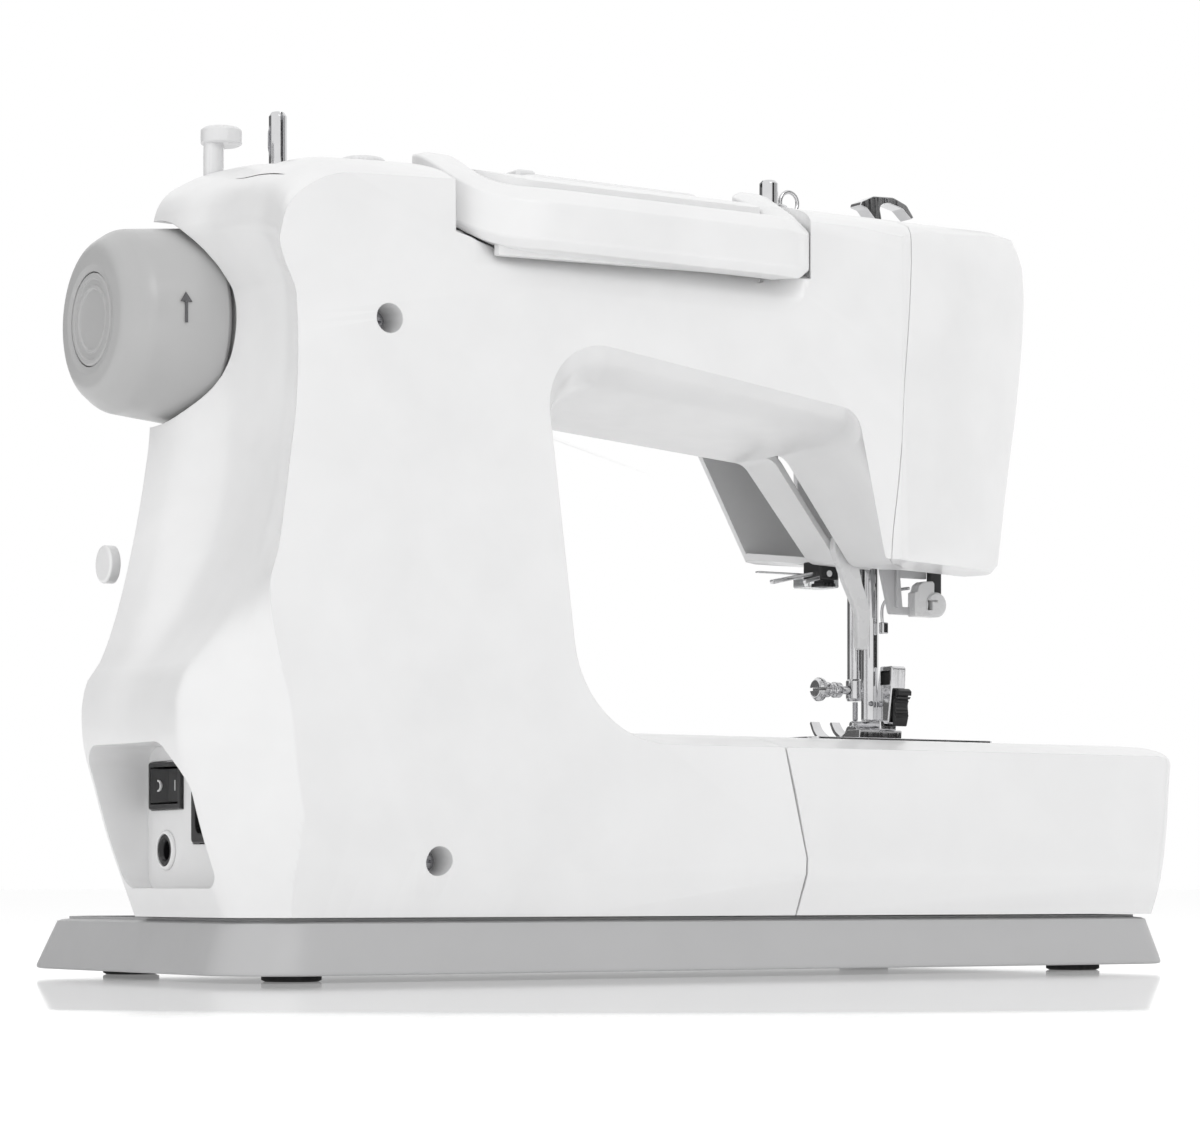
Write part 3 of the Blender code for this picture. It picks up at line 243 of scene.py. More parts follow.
def lacquered_board(name):
    n = Nodes(name)
    tracks = n.noise(420, 0, (1, 1, 4))
    n.colour(n.ramp(tracks, ((0.48, (0.03, 0.16, 0.07)), (0.52, (0.05, 0.24, 0.11)))))
    n.rough(n.ranged(tracks, 0.4, 0.6, 0.25, 0.4))
    n.bumps([(tracks, 0.3, 0.00003)])
    return n.material


WHITE = (0.86, 0.86, 0.862)
MATERIALS = {
    "white_shell": moulded("white_shell", WHITE, 0.33, 0.10, coat=0.25),
    "grey_base": moulded("grey_base", (0.50, 0.50, 0.505), 0.42, 0.16),
    "circuit_board": lacquered_board("circuit_board"),
    "grey_wheel": moulded("grey_wheel", (0.47, 0.47, 0.47), 0.34, 0.12, coat=0.15),
    "white_knob": moulded("white_knob", (0.78, 0.78, 0.785), 0.28, 0.06, coat=0.3),
    "black_plastic": moulded("black_plastic", (0.012, 0.012, 0.013), 0.34, 0.2, worn=(0.05, 0.05, 0.05)),
    "dark_stem": moulded("dark_stem", (0.03, 0.03, 0.032), 0.3, 0.1, worn=(0.1, 0.1, 0.1)),
    "rubber": rubber("rubber"),
    "chrome": metal("chrome", (0.74, 0.74, 0.75), 0.07, (1, 1, 0.06)),
    "steel": metal("steel", (0.46, 0.46, 0.48), 0.26, (0.05, 1, 1), 0.15),
    "casting": cast("casting", (0.50, 0.51, 0.52)),
    "clear_lens": lens("clear_lens"),
    "grey_lever": moulded("grey_lever", (0.58, 0.58, 0.59), 0.36),
    "mark": moulded("mark", (0.10, 0.10, 0.105), 0.5, 0.05),
}
MATERIALS["white_mark"] = moulded("white_mark", (0.75, 0.75, 0.75), 0.5, 0.05)


# ---------------------------------------------------------------- mesh helpers
def raw(name, points, faces):
    """A closed mesh object from points in drawing millimetres, with its faces turned outwards."""
    mesh = bpy.data.meshes.new(name)
    mesh.from_pydata([(x * MM, (y + SHIFT_Y) * MM, z * MM) for x, y, z in points], [], faces)
    work = bmesh.new()
    work.from_mesh(mesh)
    bmesh.ops.remove_doubles(work, verts=work.verts, dist=1e-6)
    bmesh.ops.recalc_face_normals(work, faces=work.faces)
    if work.calc_volume(signed=True) < 0:
        bmesh.ops.reverse_faces(work, faces=work.faces)
    work.to_mesh(mesh)
    work.free()
    obj = bpy.data.objects.new(name, mesh)
    bpy.context.scene.collection.objects.link(obj)
    return obj


def loft(name, sections):
    count = len(sections[0])
    points = [p for section in sections for p in section]
    faces = [
        (i * count + k, i * count + (k + 1) % count, (i + 1) * count + (k + 1) % count, (i + 1) * count + k)
        for i in range(len(sections) - 1)
        for k in range(count)
    ]
    faces.append(tuple(range(count)))
    faces.append(tuple(range(len(points) - count, len(points))))
    return raw(name, points, faces)


def filleted(corners, steps=8):
    """A closed outline whose corners (u, v, radius) are rounded with arcs of a fixed number of points."""
    points = []
    count = len(corners)
    for i, (u, v, radius) in enumerate(corners):
        here = Vector((u, v))
        if radius <= 0:
            points.append((u, v))
            continue
        before = (Vector(corners[i - 1][:2]) - here).normalized()
        after = (Vector(corners[(i + 1) % count][:2]) - here).normalized()
        half = before.angle(after) / 2
        reach = radius / math.tan(half)
        centre = here + (before + after).normalized() * (radius / math.sin(half))
        start = here + before * reach - centre
        sweep = start.angle_signed(here + after * reach - centre)
        points += [tuple(centre + Matrix.Rotation(-sweep * k / steps, 2) @ start) for k in range(steps + 1)]
    return points


def inset(corners, wall):
    """The corners moved inwards by a wall, with their radii changed to suit."""
    area = sum(a[0] * b[1] - b[0] * a[1] for a, b in zip(corners, corners[1:] + corners[:1]))
    side = 1 if area > 0 else -1
    moved = []
    for i, (u, v, radius) in enumerate(corners):
        here = Vector((u, v))
        a = (here - Vector(corners[i - 1][:2])).normalized()
        b = (Vector(corners[(i + 1) % len(corners)][:2]) - here).normalized()
        normal = Vector((-a.y, a.x)) * side
        lean = (normal + Vector((-b.y, b.x)) * side).normalized()
        point = here + lean * wall / max(0.5, lean.dot(normal))
        convex = (a.x * b.y - a.y * b.x) * side > 0
        changed = max(0.05, radius - wall if convex else radius + wall) if radius > 0 else 0
        moved.append((point.x, point.y, changed))
    return moved


PLACE = {
    "X": lambda u, v, t: (t, u, v),
    "Y": lambda u, v, t: (u, t, v),
    "Z": lambda u, v, t: (u, v, t),
}


def prism(name, axis, outline, start, end):
    """An outline of (u, v) pairs pushed along an axis: (y, z) for X, (x, z) for Y and (x, y) for Z."""
    return loft(name, [[PLACE[axis](u, v, t) for u, v in outline] for t in (start, end)])


def slab(name, axis, corners, start, end, soft=0.4, steps=6, rounds=4):
    """A prism whose two rims are rounded by soft. The corners are (u, v, radius)."""
    corners = [tuple(c) if len(c) == 3 else (*c, soft) for c in corners]
    rims = [(soft * (1 - math.sin(a)), soft * (1 - math.cos(a))) for a in
            (math.pi / 2 * k / rounds for k in range(rounds + 1))]
    levels = [(start + rise, pull) for pull, rise in rims]
    levels += [(end - rise, pull) for pull, rise in reversed(rims)]
    sections = []
    for t, pull in levels:
        outline = filleted(inset(corners, pull) if pull > 1e-6 else corners, steps)
        sections.append([PLACE[axis](u, v, t) for u, v in outline])
    return loft(name, sections)


def rect(u0, v0, u1, v1, radius):
    """A rectangle's corners with one radius."""
    return [(u0, v0, radius), (u1, v0, radius), (u1, v1, radius), (u0, v1, radius)]


def block(name, lower, upper, soft=0.4, axis="Z", corner=None):
    """A rounded box."""
    order = {"X": (1, 2, 0), "Y": (0, 2, 1), "Z": (0, 1, 2)}[axis]
    (u0, v0, t0), (u1, v1, t1) = [[p[i] for i in order] for p in (lower, upper)]
    r = soft if corner is None else corner
    return slab(name, axis, rect(u0, v0, u1, v1, r), t0, t1, soft)


def box(name, lower, upper):
    (x0, y0, z0), (x1, y1, z1) = lower, upper
    return prism(name, "Z", [(x0, y0), (x1, y0), (x1, y1), (x0, y1)], z0, z1)


def along(axis, centre, u, v, t):
    x, y, z = centre
    return {"X": (x + t, y + u, z + v), "Y": (x + v, y + t, z + u), "Z": (x + u, y + v, z + t)}[axis]


def turned(name, axis, centre, profile, segments=64, steps=5, ripple=None):
    """A solid of revolution through (distance, radius, rounding) points, from one end to the other.

    ripple, if given, changes a radius: ripple(angle, distance, radius)."""
    closed = ([(profile[0][0], 0, 0)] + [(*p, 0) if len(p) == 2 else p for p in profile]
              + [(profile[-1][0], 0, 0)])
    line = [(t, max(0.0, r)) for t, r in filleted(closed, steps)]
    rings = []
    for t, r in line:
        ring = []
        for k in range(segments):
            a = 2 * math.pi * (k + 0.5) / segments
            here = max(r, 1e-4) if ripple is None else max(ripple(a, t, r), 1e-4)
            ring.append(along(axis, centre, here * math.cos(a), here * math.sin(a), t))
        rings.append(ring)
    return loft(name, rings)


def rod(name, axis, centre, length, radius, segments=48, soft=0.0):
    return turned(name, axis, centre, [(0, radius, soft), (length, radius, soft)], segments)


def tube(name, points, radius, sides=16):
    """A round bar along points, in drawing millimetres, with rounded ends."""
    path = [Vector(p) for p in points]
    rings = []
    for i, here in enumerate(path):
        ahead = (path[min(i + 1, len(path) - 1)] - path[max(i - 1, 0)]).normalized()
        side = ahead.cross(Vector((0.13, 0.21, 0.97))).normalized()
        up = side.cross(ahead)
        share = 0.55 if i in (0, len(path) - 1) else 1.0
        turns = [2 * math.pi * k / sides for k in range(sides)]
        rings.append([tuple(here + (side * math.cos(a) + up * math.sin(a)) * radius * share) for a in turns])
    return loft(name, rings)


def curve_points(corners, steps=8):
    """Points along a smooth line through the corners."""
    found = []
    ends = [corners[0], *corners, corners[-1]]
    for p0, p1, p2, p3 in zip(ends, ends[1:], ends[2:], ends[3:]):
        for k in range(steps):
            t = k / steps
            found.append(tuple(
                0.5 * (2 * b + (c - a) * t
                       + (2 * a - 5 * b + 4 * c - d) * t * t + (3 * b - a - 3 * c + d) * t**3)
                for a, b, c, d in zip(p0, p1, p2, p3)
            ))
    found.append(tuple(corners[-1]))
    return found


def settle(obj):
    """Applies the modifiers, so that the piece is a plain mesh."""
    graph = bpy.context.evaluated_depsgraph_get()
    mesh = bpy.data.meshes.new_from_object(obj.evaluated_get(graph))
    obj.modifiers.clear()
    obj.data = mesh
    return obj


def combine(obj, others, operation):
    for other in others:
        change = obj.modifiers.new(operation.lower(), "BOOLEAN")
        change.operation = operation
        change.solver = "EXACT"
        change.object = other
        settle(obj)
        bpy.data.objects.remove(other)
    return obj


def cut(obj, *cutters):
    return combine(obj, cutters, "DIFFERENCE")


def join(obj, *others):
    return combine(obj, others, "UNION")


def gather(name, objects):
    """Several loose solids as one mesh object, for cutters and for groups of small marks."""
    work = bmesh.new()
    for obj in objects:
        work.from_mesh(obj.data)
        bpy.data.objects.remove(obj)
    mesh = bpy.data.meshes.new(name)
    work.to_mesh(mesh)
    work.free()
    made = bpy.data.objects.new(name, mesh)
    bpy.context.scene.collection.objects.link(made)
    return made


def finish_piece(obj, body, look, replaces=(), sharp=32):
    """Gives a piece its shading, its material and its body."""
    obj.data.materials.clear()
    obj.data.materials.append(MATERIALS[look])
    obj.data.shade_smooth()
    obj.data.set_sharp_from_angle(angle=math.radians(sharp))
    weighted = obj.modifiers.new("weighted", "WEIGHTED_NORMAL")
    weighted.keep_sharp = True
    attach(obj, body)
    if replaces:
        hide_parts(*replaces)
    return obj


# ---------------------------------------------------------------- the casing's outer shape
def smooth(table, at):
    """Monotone cubic interpolation in a table of (position, value) pairs that rises in position."""
    if at <= table[0][0]:
        return table[0][1]
    if at >= table[-1][0]:
        return table[-1][1]
    slopes = [(b[1] - a[1]) / (b[0] - a[0]) for a, b in zip(table, table[1:])]

    def slope_at(i):
        if i == 0:
            return slopes[0]
        if i == len(slopes):
            return slopes[-1]
        before, after = slopes[i - 1], slopes[i]
        return 0.0 if before * after <= 0 else 2 * before * after / (before + after)

    i = next(k for k in range(len(slopes)) if at <= table[k + 1][0])
    (p0, v0), (p1, v1) = table[i], table[i + 1]
    width = p1 - p0
    t = (at - p0) / width
    return (
        v0 * (1 + 2 * t) * (1 - t) ** 2
        + slope_at(i) * width * t * (1 - t) ** 2
        + v1 * t * t * (3 - 2 * t)
        + slope_at(i + 1) * width * t * t * (t - 1)
    )


SIDE_LEVELS = {
    True: [218 - (218 - BODY_Z0) * k / 66 for k in range(67)],
    False: [218, 206, 193, 176, 160, 146, 132, 120, 110, 101, 93, 84, 77, 60, 45, 33, BODY_Z0],
}
SIDE_AT_PARTING = [
    (BODY_Z0, 176), (33, 181), (45, 185.5), (60, 190), (77, 194.3), (84, 194.6), (93, 193.3), (101, 188.2),
    (110, 184.6), (120, 181.5), (132, 178.5), (146, 175.5), (160, 173), (176, 171), (193, 170.6),
    (262, 170.6),
]
SIDE_AT_WAIST = [
    (BODY_Z0, 176), (33, 181), (45, 185), (60, 189), (77, 192), (84, 192), (93, 190), (101, 184), (110, 177),
    (120, 171), (132, 165), (146, 160), (160, 157.5), (176, 156), (209, 155), (228, 158), (244, 170),
    (262, 170.6),
]
SIDE_AT_BACK = [
    (BODY_Z0, 150), (33, 154), (60, 160), (84, 163), (101, 168), (120, 171), (132, 168), (146, 165.8),
    (160, 164), (176, 162), (193, 161.4), (209, 162), (222, 167), (240, 168), (262, 168),
]
SIDE_BLEND = [(0, 0.0), (14, 0.25), (32, 0.9), (46, 1.0), (62, 1.0), (76, 1.45), (BACK_Y, 2.0)]
TOP_BY_DEPTH = [
    (ARM_FRONT_Y, 246), (-46, 253), (-36, 258.5), (-20, 262), (0, 263), (20, 262.3), (40, 260.2),
    (50, 259.6), (60, 258.4), (70, 256.2), (79, 253), (BACK_Y, 249.5),
]
HEAD_END_BY_DEPTH = [
    (ARM_FRONT_Y, -118), (-49, -135), (-42, -146), (-32, HEAD_X), (44, HEAD_X), (56, -143), (64, -133),
    (72, -114), (79, -92), (BACK_Y, -64),
]
UNDERSIDE_BLEND = [(20, 1.0), (45, 0.92), (64, 0.74), (76, 0.42), (BACK_Y, 0.0)]
BED_TOP_BY_DEPTH = [
    (FRONT_Y, BED_EDGE_Z), (-60, BED_Z - 1), (-40, BED_Z), (40, BED_Z), (62, BED_Z - 1.2),
    (BACK_Y, BED_EDGE_Z),
]

# The throat's corners as (x, z, radius): deep inside the arm, and on the back face.
THROAT_DEEP = ((52, 0, 33), (62, 189.7, 18), (-60.5, 179.2, 8), (-89.5, HEAD_Z + 2, 6))
THROAT_BACK = ((58.4, 0, 36), (75, 205.3, 20), (-49, 188.2, 9), (-60.4, HEAD_Z, 1.5))


def blended(a, b, share):
    return a + (b - a) * share


def head_z(y):
    """The height of the head's underside, which climbs towards the front."""
    return HEAD_Z + smooth([(ARM_FRONT_Y, 10.0), (-20, 6.4), (6, 3.0), (24, 1.2), (44, 0.4), (64, 0.0)], y)


def side_x(y, z):
    """The handwheel end of the casing, at a depth and a height."""
    parting = smooth(SIDE_AT_PARTING, z)
    if y < 0:
        lean = max(0.0, (-y - 34) / 18)
        return parting - 10 * lean * lean
    share = smooth(SIDE_BLEND, y)
    waist = smooth(SIDE_AT_WAIST, z)
    if share <= 1:
        return blended(parting, waist, share)
    return blended(waist, smooth(SIDE_AT_BACK, z), share - 1)


def casing_corners(y, fine=True):
    """The machine's C-shaped outline, as (x, z, radius), at a depth."""
    share = 1.0 - smooth(UNDERSIDE_BLEND, max(0, y))
    bed = smooth(BED_TOP_BY_DEPTH, y)
    top = smooth(TOP_BY_DEPTH, y)
    end = smooth(HEAD_END_BY_DEPTH, y)
    throat = [
        [blended(a, b, share) for a, b in zip(deep, back)] for deep, back in zip(THROAT_DEEP, THROAT_BACK)
    ]
    low_right, top_right, top_left, low_left = throat
    low_right[1] = bed
    under = head_z(y)
    low_left[1] += under - HEAD_Z
    left_x = min(low_left[0] - 7, end + 15)
    corners = [(-27, BODY_Z0, 0), (-28, 39, 0), (-19.2, bed, 0), low_right, top_right, top_left, low_left]
    corners.append((left_x, under, 1.2))
    reach = [(under, 12.5), (174, 7.7), (203, 3.2), (top - 22, 0.4), (top - 9, 1.5), (top - 3, 6)]
    if fine:
        levels = [under + 3 + (top - 4.5 - under) * k / 24 for k in range(25)]
    else:
        levels = [174, 203, top - 22, top - 9, top - 3]
    corners += [(min(left_x, end + smooth(reach, z)), z, 0) for z in levels]
    corners.append((end + 14, top, 0))
    shoulder = side_x(y, 236)
    corners += [(104, top, 40), (150, top - 2.2, 30), (shoulder - 3, top - 12, 16), (shoulder, top - 25, 8)]
    corners += [(side_x(y, z), z, 0) for z in SIDE_LEVELS[fine]]
    return corners


def foot_corners(y, fine=True):
    """The pillar's foot, which spreads forwards of the arm, as (x, z, radius) at a depth."""
    spread = min(1.0, (y - FRONT_Y) / (ARM_FRONT_Y - FRONT_Y))
    top = blended(90, 122, spread**0.7)
    bed = smooth(BED_TOP_BY_DEPTH, y)
    corner = 26 * max(0.0, 1 - spread / 0.9) ** 2
    corners = [(-27, BODY_Z0, 0), (-28, 39, 0), (-19.2, bed, 0), (52, bed, 8 + 25 * spread)]
    corners.append((blended(56, 59, spread), top, 3))
    count = 24 if fine else 6
    levels = [BODY_Z0 + (top - BODY_Z0) * k / count for k in range(count, -1, -1)]
    corners += [(side_x(0, z) - corner, z, 0) for z in levels]
    return corners


def casing_solid(name, corners_at, stations, wall=0.0, steps=5):
    """A loft along the depth. The stations are (place, depth) pairs: where, and which depth's outline."""
    sections = []
    for place, depth in stations:
        corners = corners_at(depth, fine=not wall)
        outline = filleted(inset(corners, wall) if wall else corners, steps)
        sections.append([(x, place, z) for x, z in outline])
    return loft(name, sections)


def spaced(a, b, count):
    return [a + (b - a) * k / count for k in range(count)]


OUTER = [(d, d) for d in [
    *spaced(ARM_FRONT_Y, -34, 9), *spaced(-34, -1.3, 6), *spaced(-1.3, 56, 18), *spaced(56, 78, 14),
    *spaced(78, BACK_Y, 10), BACK_Y,
]]
INNER = [(ARM_FRONT_Y + WALL, -51), (-42, -42), (-20, -20), (2.7, 2.7), (31, 31), (57, 57), (71, 71),
         (77.5, 77.5)]
FOOT_OUTER = [(-40, ARM_FRONT_Y)] + [(d, d) for d in [*spaced(ARM_FRONT_Y, FRONT_Y, 22), FRONT_Y]]
FOOT_INNER = [(-38, ARM_FRONT_Y), (-54, -54), (-66, -66), (-76, -77), (FRONT_Y + WALL, -82)]


# ---------------------------------------------------------------- cutters shared by the casings
SCREW_WELLS = [(middle(n)[0], middle(n)[2]) for n in ("case_screw_1", "case_screw_2")]
SCREW_WELL_R = 4.6
SCREW_WELL_DEPTH = 12.0
RECESS_FLOOR_X = low("switch_frame")[0] + 10
RECESS_Y = (1.5, 65.0)
RECESS_Z = (29.0, 74.0)
HANDLE_X = span("carry_handle", "X")
PLUG_AT = (-20, 134)
JACK_R = (high("jack_body")[2] - low("jack_body")[2]) / 2
DIALS = {  # radius and height
    "pattern_dial": (21.0, 12.0), "length_dial": (13.0, 10.0), "width_dial": (12.0, 9.0),
    "tension_dial": (10.5, 9.0),
}
REVERSE_X = middle("reverse_lever")[0]
REVERSE_Z = (126.0, 143.0)
ARM_Y = span("free_arm", "Y")
ARM_X = low("free_arm")[0]
ARM_Z0 = low("free_arm")[2]


def hollow_solid(name):
    """The space inside the casings, less the wells and grooves that are let into them."""
    hollow = casing_solid(name, casing_corners, INNER, WALL, 3)
    join(hollow, casing_solid(f"{name}_foot", foot_corners, FOOT_INNER, WALL, 2))
    well = rod("well", "X", (RECESS_X - WALL, 0, WHEEL_Z), 90, WELL_R + WALL)
    cut(hollow, well, *handle_groove(WALL), connection_recess(WALL))
    for x, z in SCREW_WELLS:
        cut(hollow, screw_well(x, z, SCREW_WELL_R + WALL, SCREW_WELL_DEPTH + WALL))
    return hollow


def seam_block(side, y0=-120, y1=120):
    """The space on one side of the face cover's seam: side -1 is the head's end, +1 is the rest."""
    edge = GAP / 2 * side
    far = -400 if side < 0 else 400
    levels = [0, *spaced(130, 260, 26), 400]
    inner = [(0, -103), (141, -103), (196, -72), (252, -70), (400, -70)]
    outer = [(0, -61), (141, -63.2), (168, -66.4), (196, -69.2), (220, -71.4), (252, -73), (400, -73)]
    lines = {"inner": [(between(inner, z), z) for z in levels],
             "outer": [(smooth(outer, z), z) for z in levels]}
    sections = []
    for y, line in ((y0, "inner"), (40, "inner"), (72, "outer"), (y1, "outer")):
        if y0 <= y <= y1:
            sections.append([(x + edge, y, z) for x, z in lines[line]] + [(far, y, 400), (far, y, 0)])
    if y1 < 40:
        sections[-1] = [(x, y1, z) for x, _, z in sections[0]]
    return loft("seam", sections)


def between(table, at):
    """Straight interpolation in a table of (position, value) pairs that rises in position."""
    for (p0, v0), (p1, v1) in zip(table, table[1:]):
        if at <= p1:
            return v0 + (v1 - v0) * (at - p0) / (p1 - p0)
    return table[-1][1]


SKIRT_CREST = [(-260, CREASE_Z), (75, CREASE_Z), (115, 39.3), (161, 52.7), (177, 60), (240, 84)]


def skirt_cutter():
    """Leans the back's lower edge in. Its upper edge climbs towards the handwheel end."""
    sections = []
    for x in [-260, *spaced(60, 240, 24), 240]:
        z = smooth(SKIRT_CREST, x)
        foot = BODY_Z0 - 1
        sections.append([
            (x, BACK_Y + 0.05, z), (x, BACK_Y - SKIRT_LEAN, foot), (x, BACK_Y + 30, foot),
            (x, BACK_Y + 30, z),
        ])
    return loft("skirt", sections)


def stepped_well():
    """The handwheel's well, with the shaft's hole in its floor."""
    profile = [(140, 9), (RECESS_X, 9), (RECESS_X, WELL_R), (260, WELL_R)]
    return turned("well", "X", (0, 0, WHEEL_Z), profile, 96)


def screw_well(x, z, radius, depth):
    return rod("screw_well", "Y", (x, BACK_Y - depth, z), depth + 10, radius, 48)


def connection_recess(grow=0.0):
    """The recess for the switch and the sockets, whose walls draw in towards its floor."""
    (y0, y1), (z0, z1) = RECESS_Y, RECESS_Z
    corners = [(y0 - grow, z0 - grow, 5), (y1 + grow, z0 - grow, 5), (y1 + grow, z1 - 12, 12),
               (y1 - 14, z1 + grow, 12),
               (y0 - grow, z1 + grow, 7)]
    return prism("recess", "X", filleted(corners, 8), RECESS_FLOOR_X - grow, 240)


def socket_holes():
    """Holes in the recess floor for the switch, the inlet and the jack."""
    holes = []
    for node in ("switch_frame", "inlet_body"):
        (_, y0, z0), (_, y1, z1) = low(node), high(node)
        holes.append(box("hole", (RECESS_FLOOR_X - 8, y0 - SHIFT_Y - GAP, z0 - GAP),
                         (RECESS_FLOOR_X + 3, y1 - SHIFT_Y + GAP, z1 + GAP)))
    _, y, z = middle("jack_body")
    holes.append(rod("hole", "X", (RECESS_FLOOR_X - 8, y - SHIFT_Y, z), 11, JACK_R + GAP))
    return holes


HANDLE_BEND = (27.0, 13.0)  # the radii of the grip's bends, at the handwheel end and at the other end
GRIP_Y = 87.5
GRIP_BACK = 7.5
HANDLE_ENTRY_Y = 58.0
HANDLE_CLIMB = 14.5
HANDLE_PIVOT = (62.0, 250.5)


def handle_path(steps=14):
    """The middle of the handle in plan, as (x, y), from its right pocket round to its left one."""
    x0, x1 = HANDLE_X[0] + GRIP_BACK, HANDLE_X[1] - GRIP_BACK
    wide, tight = HANDLE_BEND
    line = filleted([(x0, HANDLE_ENTRY_Y, 0), (x0, GRIP_Y, tight), (x1, GRIP_Y, wide),
                     (x1, HANDLE_ENTRY_Y, 0)], steps)
    return [Vector(point) for point in line]


def handle_rise(y):
    """How far the handle climbs where it turns forwards to its pivot, following the deck."""
    share = min(1.0, max(0.0, (GRIP_Y - y) / (GRIP_Y - HANDLE_ENTRY_Y)))
    return HANDLE_CLIMB * share * share * (3 - 2 * share)


def swept_handle(name, corners, reach=None):
    """A section swept along the handle's path. The corners are (outward, z, radius, share of the climb).

    reach is how far outward the section may go at the path's start and at its end.
    """
    path = handle_path()
    first, last = reach or (math.inf, math.inf)
    sections = []
    for i, here in enumerate(path):
        ahead = (path[min(i + 1, len(path) - 1)] - path[max(i - 1, 0)]).normalized()
        outward = Vector((-ahead.y, ahead.x))
        rise = handle_rise(here.y)
        widest = last if i > len(path) // 2 else first
        section = [(min(d, widest), z + rise * share, radius) for d, z, radius, share in corners]
        sections.append([(*(here + outward * d), z) for d, z in filleted(section, 5)])
    return loft(name, sections)


def handle_groove(grow=0.0):
    """The hollow behind the folded grip, fading out at both ends, and the band that its arms fold into."""
    g = grow
    sections = []
    x0, x1 = HANDLE_X[0] - 1 - g, HANDLE_X[1] + 1 + g
    for x in [*spaced(x0, x0 + 16, 8), *spaced(x0 + 16, x1 - 44, 4), *spaced(x1 - 44, x1, 14), x1]:
        fade = min(1.0, (x - x0) / 14, (x1 - x) / 25)
        fade = fade * fade * (3 - 2 * fade)
        floor_y = blended(84.5, 74.5, fade) - g
        foot_z = 211 - g
        outline = [(floor_y, 245, 0), (floor_y, 234 - g, 4), (blended(84.6, 82.2, fade) - g, 224 - g, 8),
                   (86, foot_z, 0), (120, foot_z, 0), (120, 245, 0)]
        sections.append([(x, y, z) for y, z in filleted(outline, 5)])
    band = [(-8.6 - g, 228.3 - g, 0, 1), (14 + g, 228.3 - g, 0, 1), (14 + g, 290, 0, 0),
            (-8.6 - g, 290, 0, 0)]
    return loft("groove", sections), swept_handle("handle_band", band, (8.3 + g, 14 + g))


def lifter_slot():
    """The slanting slot in the head's throat side that the presser lifter swings in."""
    outline = [(-67, 182, 2), (-56, 180, 2), (-84, 136, 0), (-109, 136, 0), (-102, 147, 1), (-93, 147, 2)]
    return prism("lifter_slot", "Y", filleted(outline, 4), 18.5, 25.5)


def arm_passage():
    """Leaves the covers open where the free arm joins the bed."""
    return box("passage", (-45, ARM_Y[0] + WALL, ARM_Z0 + WALL), (4, ARM_Y[1] - WALL, BED_Z - WALL - 3))


POST_Z0, DECK_Z = 250, 263.4  # where the top's posts begin, inside, and where they leave the deck
FITTINGS = {  # x, y and the radius of the hole in the deck
    "winder_spindle": (124.6, 0.0, 3.4), "winder_stop": (148.0, 0.0, 3.6), "top_dial": (93.0, 0.0, 4.0),
    "winder_tension": (-76.0, -6.0, 3.0), "thread_guide": (-119.0, 0.0, 2.4),
}


def top_holes():
    return [rod("hole", "Z", (x, y, 240), 60, radius + GAP) for x, y, radius in FITTINGS.values()]


def dial_hole(node):
    x, _, z = middle(node)
    return rod("hole", "Y", (x, ARM_FRONT_Y - 3, z), 9, 4.3)


def vents():
    """Staggered rows of narrow slots in the handwheel end, near the foot, as one cutter."""
    made = []
    for column in range(11):
        y = -9.5 - 3.4 * column
        shift = 3.1 * (column % 2) * 2 - 2.0
        top_z = 76 - 0.012 * (column - 1) ** 3
        for row in range(5):
            z1 = min(top_z, 81 - 12.6 * row - shift)
            z0 = max(29.5, 81 - 12.6 * row - shift - 10.8)
            if z1 - z0 > 3:
                made.append(prism("vent", "X", filleted(rect(y - 0.4, z0, y + 0.4, z1, 0.38), 3), 150, 210))
    return gather("vents", made)


# ---------------------------------------------------------------- casings
def rear_cover(hollow):
    cover = casing_solid("rear_shell", casing_corners, OUTER, steps=12)
    keep_rear = seam_block(1, GAP / 2, 120)
    combine(cover, [keep_rear], "INTERSECT")
    cut(cover, skirt_cutter(), copied(hollow), stepped_well(), *handle_groove(), connection_recess())
    for x, z in SCREW_WELLS:
        cut(cover, screw_well(x, z, SCREW_WELL_R, SCREW_WELL_DEPTH))
        cut(cover, rod("hole", "Y", (x, BACK_Y - 20, z), 12, 1.9, 24))
    cut(cover, lifter_slot(), arm_passage(), *socket_holes(), *top_holes())
    return finish_piece(cover, "machine", "white_shell", ["rear_cover"])


def front_cover(hollow):
    cover = casing_solid("front_shell", casing_corners, OUTER, steps=12)
    join(cover, casing_solid("foot", foot_corners, FOOT_OUTER, steps=8))
    combine(cover, [seam_block(1, -120, -GAP / 2)], "INTERSECT")
    cut(cover, copied(hollow), stepped_well(), arm_passage(), *top_holes())
    cut(cover, rod("hole", "X", (168, *PLUG_AT), 30, 6.6))
    for node in DIALS:
        cut(cover, dial_hole(node))
    cut(cover, box("hole", (REVERSE_X - 8, ARM_FRONT_Y - 30, REVERSE_Z[0]),
                   (REVERSE_X + 8, ARM_FRONT_Y + 6, REVERSE_Z[1])))
    cut(cover, vents())
    return finish_piece(cover, "machine", "white_shell", ["front_cover"])


def face_cover(hollow):
    """The cover on the head's end, around the needle and presser bars."""
    cover = casing_solid("face_shell", casing_corners, OUTER, steps=12)
    combine(cover, [seam_block(-1)], "INTERSECT")
    cut(cover, copied(hollow))
    mouth = rect(-138, -20, -103.6, 34, 6)
    cut(cover, prism("mouth", "Z", filleted(mouth), 120, HEAD_Z + 8), lifter_slot())
    cut(cover, box("take_up_slot", (NEEDLE_X - 4, -70, 168), (NEEDLE_X + 4, -38, 242)))
    cut(cover, dial_hole("tension_dial"), box("lamp_hole", (-122.3, -37.3, 130), (-107.7, -24.7, 150)),
        *top_holes())
    return finish_piece(cover, "machine", "white_shell", ["face_cover"])


